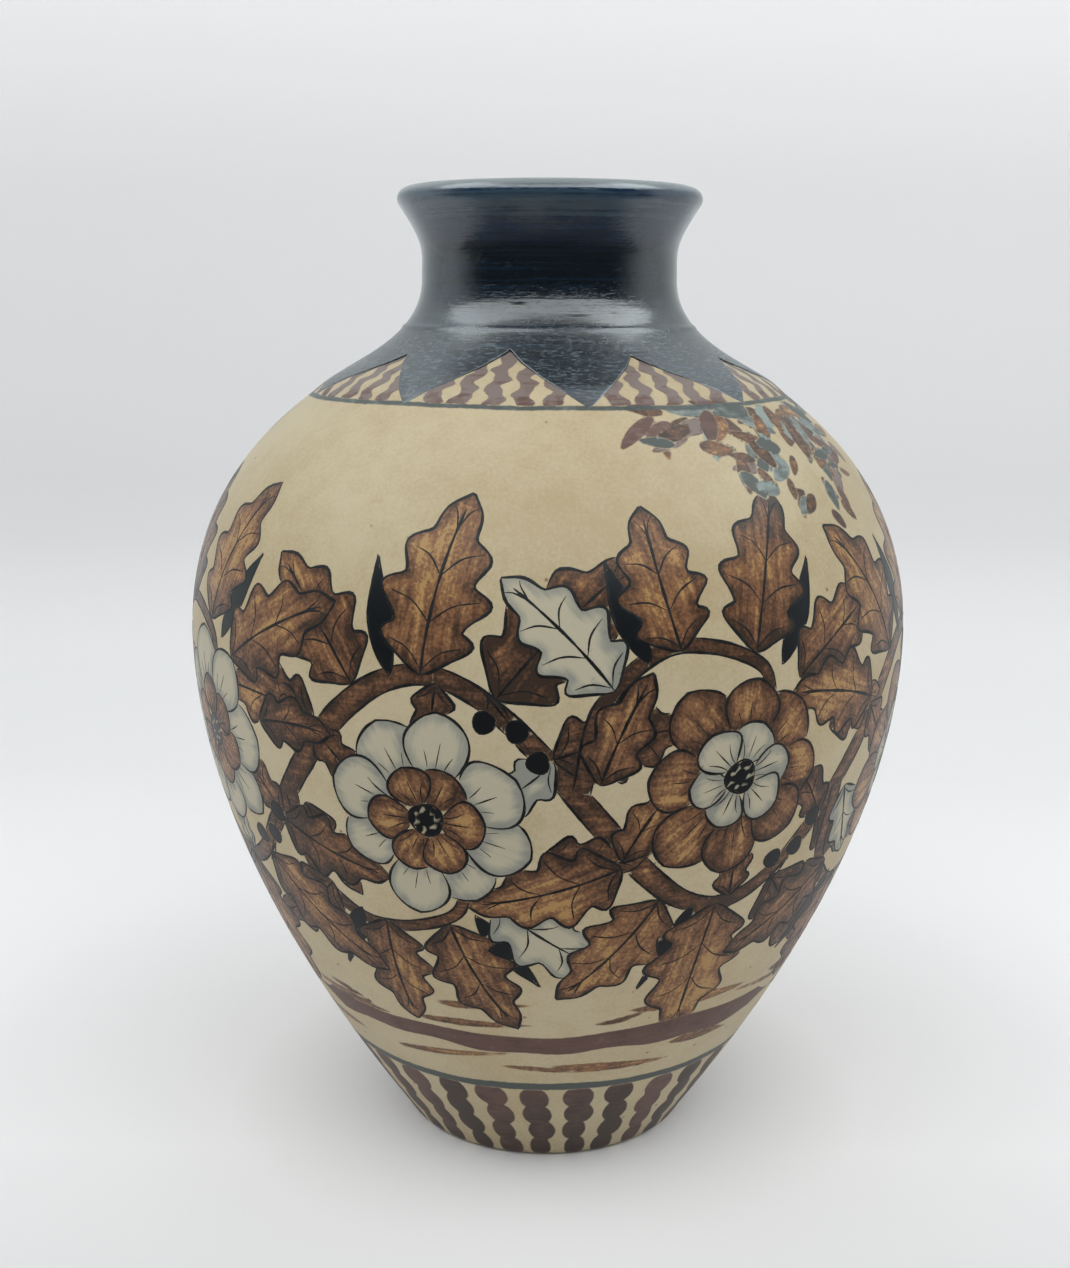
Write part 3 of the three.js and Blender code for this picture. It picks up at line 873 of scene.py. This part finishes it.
# %% Bare stoneware and lining glaze
# The collar's clay under the enamel has no glaze: it is a dry, gritty buff.
bare, place = new_material("bare_stoneware")
grog = add("TexNoise", {"Vector": place, "Scale": 600, "Detail": 4, "Roughness": 0.65})  # 1.7 mm grit
colour = add("ValToRGB", {0: grog}, stops={0.25: CLAY_GROG, 0.75: CLAY_BARE})
bump = add("Bump", {"Height": grog, "Strength": 0.5, "Distance": 0.0002})
shader = {"Base Color": colour, "Roughness": 0.85, "IOR": 1.5, "Normal": bump}
add("OutputMaterial", {"Surface": add("BsdfPrincipled", shader)}, out=None)

# The lining is a brown glaze poured in and out again: glossy, with runs down the wall.
lining, place = new_material("lining_glaze")
runs = add("Mapping", {"Vector": place, "Scale": (60, 60, 25)})  # 17 mm wide, 40 mm long
pool = add("TexNoise", {"Vector": runs, "Scale": 1, "Detail": 4})
colour = add("ValToRGB", {0: pool}, stops={0.3: LINING_DARK, 0.7: LINING})
shader = {"Base Color": colour, "Roughness": 0.18, "IOR": 1.5}
add("OutputMaterial", {"Surface": add("BsdfPrincipled", shader)}, out=None)
print("materials:", ", ".join(material.name for material in (painted, pen, enamel, bare, lining)))

# %% [markdown]
# ## The walls and the foot
# The two walls lap at the belly: the lower one has a tongue that enters a rebate in the upper one. The
# outside rows are a millimetre apart, and the hidden inside needs far fewer. A displaced copy of the
# CAD pieces would have had too few faces to carry the paint.

# %% Sections of the pot
BODY_WALL = 6
NECK_WALL = 5
FOOT_LEDGE = 10
FLOOR_HEIGHT = 13
NECK_JOINT = 240.8
LAP_HEIGHT = 4
CLEARANCE = 0.3
COAT_THICKNESS = 0.5
COAT_DEPTH = CLEARANCE + COAT_THICKNESS
LINE_ROOM = 0.06  # the clay lies this far inside the solids, so that the pen lines don't pass them
POINT_TIP = 222


def joint_share(height):
    """Smooth step 3t^2 - 2t^3 from the enamel's tips to the neck joint."""
    t = np.clip((height - POINT_TIP) / (NECK_JOINT - POINT_TIP), 0, 1)
    return t * t * (3 - 2 * t)


def clay_depth(s):
    """How far the clay lies inside the outline: LINE_ROOM above the foot's edge, and a whole coat under
    the enamel."""
    height = profile(s)[1]
    room = LINE_ROOM * np.clip(height / FOOT_EDGE_RADIUS, 0, 1)
    return room + (COAT_DEPTH - room) * joint_share(height)


joint = at_height(NECK_JOINT)
print(f"the clay lies {clay_depth(joint):.2f} mm deep at the neck joint")


# %% The inside of the clay, and the laps between its sections
def inside_line(high, low, count, extra=0.0):
    """Rows (radius, height) down the inside of the clay, one wall's thickness from the outside."""
    s = np.linspace(at_height(4), at_height(NECK_HEIGHT), 600)
    wall = BODY_WALL + (NECK_WALL - BODY_WALL) * joint_share(profile(s)[1]) + extra
    r, z = profile(s, wall)
    heights = np.linspace(high, low, count)
    return np.stack([np.interp(heights, z, r), heights], 1)


def lap(height):
    """Radii of a tongue and of the rebate round it, on each side of the wall's middle."""
    middle = height + LAP_HEIGHT / 2
    s = at_height(middle)
    inside = inside_line(middle, middle, 1)[0, 0]
    radius = (profile(s, clay_depth(s))[0] + inside) / 2
    return float(radius - CLEARANCE / 2), float(radius + CLEARANCE / 2)


belly_tongue, belly_rebate = lap(BELLY_HEIGHT)
neck_tongue, neck_rebate = lap(NECK_JOINT)
print(f"tongues of {belly_tongue:.1f} and {neck_tongue:.1f} mm radius")

# %% Both walls and the foot
WALL_COLUMNS = 640
FOOT_RECESS_RADIUS = 31
FOOT_RECESS_DEPTH = 1.5


def painted_piece(name, node, low, high, count, rest, under=None):
    """Turns count outside rows between two heights and the rest of the section, and paints the outside.
    A piece with an underside starts on the axis."""
    s = np.linspace(at_height(low), at_height(high), count)
    rows = np.stack(profile(s, clay_depth(s)), 1)
    line = np.vstack([rows, rest] if under is None else [under, rows, rest])
    piece = turned(name, line, WALL_COLUMNS)
    first = 0 if under is None else (len(under) - 1) * WALL_COLUMNS
    phi = np.tile(np.arange(WALL_COLUMNS) / WALL_COLUMNS * math.tau, count)
    paint_piece(piece, phi, np.repeat(s, WALL_COLUMNS), slice(first, first + count * WALL_COLUMNS))
    dress(piece, painted, "painted_stoneware", node)


def tongue(radius, foot):
    """The outer side of a tongue that stands on a wall."""
    return [[radius, foot], [radius, foot + LAP_HEIGHT]]


inside = inside_line(BELLY_HEIGHT + LAP_HEIGHT, FOOT_LEDGE, 18)
rest = np.vstack([tongue(belly_tongue, BELLY_HEIGHT), inside])
painted_piece("lower_wall_painted", "lower_wall", FOOT_LEDGE, BELLY_HEIGHT, 132, rest)

rebate_top = BELLY_HEIGHT + LAP_HEIGHT + CLEARANCE
inside = inside_line(NECK_JOINT + LAP_HEIGHT, rebate_top, 16)
rebate = [[belly_rebate, rebate_top], [belly_rebate, BELLY_HEIGHT]]
rest = np.vstack([tongue(neck_tongue, NECK_JOINT), inside, rebate])
painted_piece("upper_wall_painted", "upper_wall", BELLY_HEIGHT, NECK_JOINT, 128, rest)

spigot = inside_line(FOOT_LEDGE, FOOT_LEDGE, 1)[0, 0] - CLEARANCE
rest = [[spigot, FOOT_LEDGE], [spigot, FLOOR_HEIGHT], [0, FLOOR_HEIGHT]]
under = [[0, FOOT_RECESS_DEPTH], [FOOT_RECESS_RADIUS - 0.6, FOOT_RECESS_DEPTH],
         [FOOT_RECESS_RADIUS + FOOT_RECESS_DEPTH, 0]]
painted_piece("foot_turned", "foot_disc", 0.02, FOOT_LEDGE, 22, rest, under)

# %% [markdown]
# ## The neck enamel
# The enamel is a thick coat with nine points. Its lower edge is a zigzag, so the first rows of the
# grid spread between that edge and a level ring. It is thin at the points and thicker on the neck,
# with a low ridge over the collar's joint and a few pits where the glaze crawled. A mask on a plain
# coat would give the zigzag too, but this one has a real, rounded edge.

# %% The enamel's edge and thickness
ENAMEL_COLUMNS = 640
LEVEL_RING = 242.3
PITTED_TOP = 249.5
THROAT_END = 258
EDGE_THICKNESS = 0.09
EDGE_ROUNDING = 0.7
BEDDED = 0.02  # the coat's edge is sunk this far into the clay
RIDGE = 0.28
PIT_DEPTH = 0.15
PITS = (  # azimuth in degrees, height, half width and half height in mm
    (-12.6, 247.0, 2.0, 0.5),
    (11.0, 244.9, 2.8, 0.5),
    (26.2, 244.6, 1.6, 0.6),
)
APEX_SHARES = np.array([0.435, 0.42, 0.53, 0.48, 0.51, 0.47, 0.54, 0.58, 0.5])  # where each window is highest
WINDOW_TOPS = np.array([234.4, 232.9, 234.6, 233.6, 235.1, 234.0, 234.8, 233.7, 235.6])


def enamel_edge(phi):
    """Arc length of the zigzag: straight from a tip up to a window's apex and down to the next tip, with
    a hand's waver."""
    turns = evened(phi) / (math.tau / POINTS)
    share, window = turns % 1, np.floor(turns).astype(int) % POINTS
    rise = np.minimum(share / APEX_SHARES[window], (1 - share) / (1 - APEX_SHARES[window]))
    tip, top = at_height(POINT_TIP - 0.2), np.array([at_height(height) for height in WINDOW_TOPS])[window]
    return tip + (top - tip) * rise + waver(phi, 6, 0.25) + 0.12 * np.sin(61 * phi)


phi = np.arange(ENAMEL_COLUMNS) / ENAMEL_COLUMNS * math.tau
edge = enamel_edge(phi)
throat_end = float(np.interp(THROAT_END, throat[::-1, 1], along[::-1][: len(throat)]))
print(f"the points are up to {np.ptp(edge):.1f} mm long")

# %% The enamel coat: outer rows with ridge and pits, inner rows against the clay
level, pitted_end = at_height(LEVEL_RING), at_height(PITTED_TOP)
spread = np.linspace(0, 1, 44)[:, None] ** 1.25
# Above the level ring the rows are closer where the pits are.
rows = np.concatenate([np.linspace(level, pitted_end, 26), np.linspace(pitted_end, throat_end, 60)[1:]])
outer_s = np.vstack([edge + (level - edge) * spread, np.repeat(rows[1:, None], ENAMEL_COLUMNS, 1)])
under_coat = clay_depth(outer_s)
thickness = EDGE_THICKNESS + (COAT_DEPTH - EDGE_THICKNESS) * joint_share(profile(outer_s)[1])
outer_depth = np.where(outer_s > joint, 0, under_coat - thickness)
under_coat = under_coat - BEDDED
# The edge is a quarter of an ellipse: sqrt(1 - (1 - x)^2), with x from 0 to 1 over EDGE_ROUNDING.
from_edge = np.clip((outer_s - edge) / EDGE_ROUNDING, 0, 1)
rounding = np.sqrt(np.clip(1 - (1 - from_edge) ** 2, 0, 1))
ridge = RIDGE * np.exp(-(((outer_s - joint) / 0.7) ** 2))
pit_share = np.zeros_like(outer_s)
for degrees, height, half_width, half_height in PITS:
    local = to_local(phi + 0 * outer_s, outer_s, (math.radians(degrees), at_height(height)))
    reach = np.hypot(local[..., 0] / half_width, local[..., 1] / half_height)
    pit_share = np.maximum(pit_share, np.exp(-0.7 * reach**2))
outer_depth = under_coat + (outer_depth - under_coat) * rounding - ridge + PIT_DEPTH * pit_share
inner_s = edge + (throat_end - edge) * np.linspace(1, 0, 14)[:, None]
inner_depth = np.where(inner_s > joint, COAT_THICKNESS, clay_depth(inner_s))
all_s, all_depth = np.vstack([outer_s, inner_s]), np.vstack([outer_depth, inner_depth])
places = on_pot(np.broadcast_to(phi, all_s.shape), all_s, all_depth).reshape(-1, 3)
coat = mesh_object("neck_enamel_coat", places, [grid_quads(len(all_s), ENAMEL_COLUMNS, True)], 50)
stored = np.zeros(len(places), np.float32)
stored[: pit_share.size] = pit_share.ravel()
coat.data.attributes.new("pit", "FLOAT", "POINT").data.foreach_set("value", stored)
dress(coat, enamel, "dark_enamel", "neck_enamel")


# %% Bare collar under the enamel, and the lining glaze
def throat_rows(high, low, depth):
    """Six rows down the throat between two heights, at a depth behind its surface."""
    heights = np.linspace(high, low, 6)
    r, z = profile(np.linspace(along[-len(throat)], along[-1], 400), depth)
    return np.stack([np.interp(heights, z[::-1], r[::-1]), heights], 1)


COLLAR_COLUMNS = 320
THROAT_LOW = NECK_HEIGHT + 0.2
over_lip = np.stack(profile(np.linspace(joint, throat_end, 90), COAT_DEPTH), 1)
rebate_top = NECK_JOINT + LAP_HEIGHT + CLEARANCE
section = [over_lip, throat_rows(THROAT_END - 0.5, THROAT_LOW, COAT_DEPTH),
           inside_line(NECK_HEIGHT, rebate_top, 12), [[neck_rebate, rebate_top], [neck_rebate, NECK_JOINT]]]
collar = turned("neck_collar_clay", np.vstack(section), COLLAR_COLUMNS)
dress(collar, bare, "bare_stoneware", "neck_collar")

LINING_COLUMNS = 160
LINING_FLOOR = FLOOR_HEIGHT + CLEARANCE


def lining_side(floor, behind, extra):
    """Rows down one side of the lining, from the throat to the middle of the floor."""
    down_throat = throat_rows(THROAT_END - CLEARANCE, THROAT_LOW, behind)
    return np.vstack([down_throat, inside_line(NECK_HEIGHT, floor, 60, extra), [[0, floor]]])


wall_side = lining_side(LINING_FLOOR, COAT_THICKNESS, CLEARANCE)
water_side = lining_side(LINING_FLOOR + COAT_THICKNESS, 0, COAT_DEPTH)
coat = turned("lining_glaze_coat", np.vstack([wall_side[::-1], water_side]), LINING_COLUMNS)
dress(coat, lining, "lining_glaze", "inner_glaze")

# %% [markdown]
# ## Pen lines
# Outlines and veins are a millimetre wide or less, finer than the wall's faces, so each is its own
# thin strip: four corners of a flat lens carried along the line, pressed into the wall. A line stops
# where a later mark covers it. Curves with a bevel would be round, and would stand off the wall.

# %% Which parts of a line show
LINE_STEP = 1.1  # mm between the rings of a strip
COVERED = 0.15  # mm inside a later mark from which a line is hidden
SHORTEST = 3  # rings


def evenly(points, closed):
    """Points at equal steps along a polyline."""
    path = np.vstack([points, points[:1]]) if closed else points
    lengths = np.concatenate([[0], np.cumsum(np.linalg.norm(np.diff(path, axis=0), axis=1))])
    count = max(int(lengths[-1] / LINE_STEP), SHORTEST)
    at = np.linspace(0, lengths[-1], count + 1)
    return np.stack([np.interp(at, lengths, path[:, k]) for k in (0, 1)], 1)


extents = np.array([[*m["anchor"], *m["shape"].min(0), *m["shape"].max(0)] for m in marks])


def uncovered(phi, s, first_over):
    """True where neither the ground stroke nor a mark from first_over on lies over the point. Marks whose
    box is far are passed by."""
    free = ground_stroke(phi, s) < COVERED
    path = to_local(phi, s, (phi[0], s[0]))
    low, high = path.min(0) - 4, path.max(0) + 4
    shift = to_local(extents[:, 0], extents[:, 1], (phi[0], s[0]))
    meets = (shift + extents[:, 4:6] > low) & (shift + extents[:, 2:4] < high)
    for number in first_over + np.flatnonzero(meets[first_over:].all(1)):
        mark = marks[number]
        local = to_local(phi, s, mark["anchor"])
        low, high = mark["shape"].min(0), mark["shape"].max(0)
        near = np.flatnonzero(((local > low) & (local < high)).all(1) & free)
        if len(near):
            free[near] = signed_distance(local[near], mark["shape"]) < COVERED
    return free


def runs_of(free):
    """Start and end of each stretch of true values that is long enough."""
    change = np.diff(np.concatenate([[False], free, [False]]).astype(int))
    starts, ends = np.flatnonzero(change == 1), np.flatnonzero(change == -1)
    return [(a, b) for a, b in zip(starts, ends) if b - a >= SHORTEST]


# %% Strips of pen line
LINE_PROUD = 0.055  # mm that the crown stands out of the clay
LINE_SUNK = 0.05
EDGE_SUNK = 0.02


def strip(phi, s, half):
    """Corners of one strip: left, crown, right and keel at each step, with tapered ends."""
    radius = profile(s)[0]
    ahead = np.gradient(np.stack([phi * radius.mean(), s], 1), axis=0)
    ahead /= np.maximum(np.linalg.norm(ahead, axis=1), 1e-9)[:, None]
    ring = np.arange(len(phi))
    taper = np.clip(0.35 + np.minimum(ring, ring[::-1]) / 4, 0, 1)
    wavering = 1 + 0.22 * np.sin(ring * 0.55 + s[0]) + rng.uniform(-0.12, 0.12, len(phi))
    width = half * taper * wavering
    side = np.stack([-ahead[:, 1], ahead[:, 0]], 1) * width[:, None]
    left = on_pot(phi + side[:, 0] / radius, s + side[:, 1], LINE_ROOM + EDGE_SUNK)
    right = on_pot(phi - side[:, 0] / radius, s - side[:, 1], LINE_ROOM + EDGE_SUNK)
    crown, keel = on_pot(phi, s, LINE_ROOM - LINE_PROUD), on_pot(phi, s, LINE_ROOM + LINE_SUNK)
    return np.stack([left, crown, right, keel], 1).reshape(-1, 3)


def strips_object(name, strips):
    """Joins many strips into one mesh, each closed by a quad at both ends."""
    quads, start = [], 0
    corner = np.arange(4)
    for places_of in strips:
        rings = len(places_of) // 4
        ring = start + 4 * np.arange(rings - 1)[:, None]
        a, b = ring + corner, ring + (corner + 1) % 4
        quads.append(np.stack([a, a + 4, b + 4, b], -1).reshape(-1, 4))
        quads.append([start + corner])
        quads.append([start + 4 * (rings - 1) + corner[::-1]])
        start += len(places_of)
    return mesh_object(name, np.vstack(strips), [np.vstack(quads)], 60)


# %% Draw every line that shows
def shown(points, closed, anchor, first_over, half):
    """Strips for the stretches of one line that nothing covers."""
    phi, s = to_wall(evenly(points, closed), anchor)
    return [strip(phi[a:b], s[a:b], half) for a, b in runs_of(uncovered(phi, s, first_over))]


outlines, veins = [], []
for number, mark in enumerate(marks):
    if mark["line"]:
        outlines += shown(mark["shape"], True, mark["anchor"], number + 1, mark["line"])
for item in lines:
    veins += shown(item["points"], False, item["anchor"], item["over"], item["width"])
dress(strips_object("pen_outlines", outlines), pen, "painted_stoneware")
dress(strips_object("pen_veins", veins), pen, "painted_stoneware")

# %% [markdown]
# ## Light, floor and camera
# A pale sweep of paper stands under and behind the pot. One soft lamp hangs above it, and the world
# adds a dim room with a bright band high up, like a lit ceiling. The glossy neck mirrors all of it,
# so the room is darker where the viewer stands. The floor holds a painted shadow of the viewer: it is
# painted darker where the neck mirrors it before the pot. More lamps could do this, but they would
# light the clay too. The camera sees the paper brighter than it is lit, so that the ground turns pale
# and the clay keeps its colour. That glow is painted light, and uneven: it is stronger behind the pot,
# up the wall and to the right, and it is missing round the foot, where this deepens the shadow. The
# wall is also painted a darker paper than the floor, as painted shade, and glows in reflections as a
# painted reflection.

# %% The sweep: a level floor, a quarter circle and a wall, in metres
SWEEP_FRONT, SWEEP_BACK, SWEEP_CURVE, SWEEP_TOP, SWEEP_HALF = -2.4, 0.62, 0.35, 2.6, 2.6
bend = arc((SWEEP_BACK, SWEEP_CURVE), SWEEP_CURVE, -90, 0, 24)
sweep_y, sweep_z = np.vstack([[SWEEP_FRONT, 0], [SWEEP_BACK, 0], bend, [bend[-1, 0], SWEEP_TOP]]).T
sweep_x = np.tile([-SWEEP_HALF, SWEEP_HALF], len(sweep_y))
places = np.stack([sweep_x, np.repeat(sweep_y, 2), np.repeat(sweep_z, 2)], 1) / MM
row = np.arange(len(sweep_y) - 1)[:, None] * 2
sweep = mesh_object("sweep", places, [row + [[0, 1, 3, 2]]])
print("sweep:", len(sweep.data.polygons), "faces")

# %% Paper for the sweep
# A matt card: the eye sees an even pale ground with the pot's soft shadow.
PAPER, PAPER_WALL_PAINTED_SHADE, MIRRORED_DARK = "#E4E4E4", "#D0D0D0", "#15181C"
GLOW, GLOW_MIRRORED = "#FFFFFF", "#DDEEF0"
paper, place = new_material("matt_paper")
seen = add("LightPath", out=None)
spot = add("SeparateXYZ", {0: place}, out=None)
from_axis = add("VectorMath", {0: place}, out="Value", operation="LENGTH")
on_wall, shaded, near_viewer, front, nearer, beyond_shadow, high, right, painted_wall_reflection = [
    add("MapRange", {"Value": source, "From Min": start, "From Max": end, "To Min": low, "To Max": top})
    for source, start, end, low, top in (
        (spot["Z"], 0, 0.06, 0, 1),  # 1 from 60 mm up
        (spot["Y"], -0.06, -0.16, 0, 0.88),  # mirrored darker before the pot
        (spot["Y"], -0.34, -0.44, 0, 1),  # and darkest where the viewer stands
        (spot["Y"], 0.35, 0.05, 0, 0.125),  # the floor's glow, from behind the pot forwards
        (spot["Y"], -0.04, -0.1, 1, 0.1),  # less of it before the pot
        (from_axis, 0.045, 0.1, 0, 1),  # and none in the shadow under the foot
        (spot["Z"], 0.1, 0.5, 0, 0.31),  # the wall's glow, stronger upwards
        (spot["X"], -0.4, 0.4, 0, 0.04),  # and to the right
        (spot["Z"], 0.6, 1.3, 0.35, 0.8),  # how brightly the wall is mirrored
    )
]
# Painted shadow of the viewer: for glossy rays, the floor is painted darker before the pot.
painted_viewer_shadow = add("Math", {0: shaded, 1: near_viewer}, operation="MAXIMUM")
painted_viewer_shadow = weighted((painted_viewer_shadow, seen["Is Glossy Ray"]), 0)
# Painted shade: the sweep's wall is a darker paper than its floor, though it is one card.
colour = linear(PAPER)
for share, above in ((on_wall, PAPER_WALL_PAINTED_SHADE), (painted_viewer_shadow, MIRRORED_DARK)):
    colour = add("Mix", {0: share, 6: colour, 7: linear(above)}, out=2, data_type="RGBA")
# Painted light: the glow that the camera sees is stronger behind the pot, up the wall and to the right. It is
# missing round the foot, which deepens the pot's shadow there as painted shadow.
front = weighted((front, nearer), 0)
lit = weighted((front, beyond_shadow), (on_wall, 0.05), (high, 1), right)
# Painted reflection: for glossy rays only, the wall glows with a teal tint, brighter higher up.
mirrored = weighted((on_wall, seen["Is Glossy Ray"]), 0)
glow = weighted((lit, seen["Is Camera Ray"]), (mirrored, painted_wall_reflection), 0)
glow_mix = {0: seen["Is Glossy Ray"], 6: linear(GLOW), 7: linear(GLOW_MIRRORED)}
shader = {"Base Color": colour, "Roughness": 0.9, "IOR": 1.45, "Emission Strength": glow,
          "Emission Color": add("Mix", glow_mix, out=2, data_type="RGBA")}
add("OutputMaterial", {"Surface": add("BsdfPrincipled", shader)}, out=None)
sweep.data.materials.append(paper)

# %% Lamp, 1.6 m wide, that faces the belly
LAMP_PLACE, LAMP_TARGET, LAMP_SIZE, LAMP_POWER = (0, -0.1, 1.5), (0, 0, 0.15), 1.6, 3
light = bpy.data.lights.new("ceiling_lamp", "AREA")
light.size = LAMP_SIZE
light.energy = LAMP_POWER
lamp = bpy.data.objects.new("ceiling_lamp", light)
bpy.context.scene.collection.objects.link(lamp)
lamp.location = LAMP_PLACE
_, back, up = np.subtract(LAMP_PLACE, LAMP_TARGET)
lamp.rotation_euler = (math.atan2(-back, up), 0, 0)
print(f"the lamp tilts by {math.degrees(lamp.rotation_euler.x):.1f} degrees")

# %% World: a dim room with a bright band high up
ROOM, ROOM_MIRRORED = "#F4F6F8", "#E6F0F2"
BAND_STRENGTH = 2.35
GROUND_STRENGTH = 0.93  # what the camera sees beyond the sweep
world = bpy.data.worlds.new("studio")
bpy.context.scene.world = world
world.use_nodes = True
tree = world.node_tree
tree.nodes.clear()
seen = add("LightPath", out=None)
aimed = add("SeparateXYZ", {0: add("TexCoord", out="Generated")}, out=None)
room, pale_sides, rising, falling, in_front, rightward = [
    add("MapRange", {"Value": aimed[axis], "From Min": start, "From Max": end, "To Min": low, "To Max": top},
        interpolation_type=step)
    for axis, start, end, low, top, step in (
        ("Y", -0.15, -0.5, 0.4, 0.04, "SMOOTHSTEP"),  # dim where the viewer stands
        ("Y", 0.1, -0.35, 0.6, 0, "SMOOTHSTEP"),  # mirrored paler at the sides and behind
        ("Z", 0.51, 0.58, 0, 1, "SMOOTHSTEP"),  # the band's lower edge
        ("Z", 0.93, 0.85, 0, 1, "SMOOTHSTEP"),  # its upper edge
        ("Y", 0.6, 0.1, 0, 1, "SMOOTHSTEP"),  # it ends behind the pot
        ("X", 0.15, 0.7, 0.9, 2, "LINEAR"),  # it is mirrored brighter on the right
    )
]
band = weighted((rising, falling), 0)
band = weighted((band, in_front), 0)
mirrored = weighted((band, rightward), pale_sides)
strength = weighted((band, BAND_STRENGTH), (mirrored, seen["Is Glossy Ray"]), room)
ground = weighted((seen["Is Camera Ray"], GROUND_STRENGTH), 0)
strength = add("Math", {0: strength, 1: ground}, operation="MAXIMUM")
room_mix = {0: seen["Is Glossy Ray"], 6: linear(ROOM), 7: linear(ROOM_MIRRORED)}
background = {"Color": add("Mix", room_mix, out=2, data_type="RGBA"), "Strength": strength}
add("OutputWorld", {"Surface": add("Background", background)}, out=None)
print("world:", len(tree.nodes), "nodes")

# %% Camera at the photograph's view
IMAGE_HEIGHT = 1268  # pixels
FOCAL_PIXELS = 1616
SENSOR_HEIGHT = 24  # mm
CAMERA_PLACE = (0, -0.480, 0.2497)  # metres
TURN_LEFT, LOOK_DOWN, ROLL = 0.443, 11.85, 0.25  # degrees
camera_data = bpy.data.cameras.new("photo_view")
camera_data.sensor_fit = "VERTICAL"
camera_data.sensor_height = SENSOR_HEIGHT
camera_data.lens = FOCAL_PIXELS / IMAGE_HEIGHT * SENSOR_HEIGHT
camera = bpy.data.objects.new("photo_view", camera_data)
bpy.context.scene.collection.objects.link(camera)
camera.location = CAMERA_PLACE
turns = ((TURN_LEFT, "Z"), (90 - LOOK_DOWN, "X"), (ROLL, "Z"))
turn_left, tilt, roll = [Matrix.Rotation(math.radians(angle), 3, axis) for angle, axis in turns]
camera.rotation_euler = (turn_left @ tilt @ roll).to_euler()
bpy.context.scene.camera = camera
bpy.context.scene.view_settings.view_transform = "Standard"
print(f"lens of {camera_data.lens:.1f} mm on a {SENSOR_HEIGHT} mm sensor")
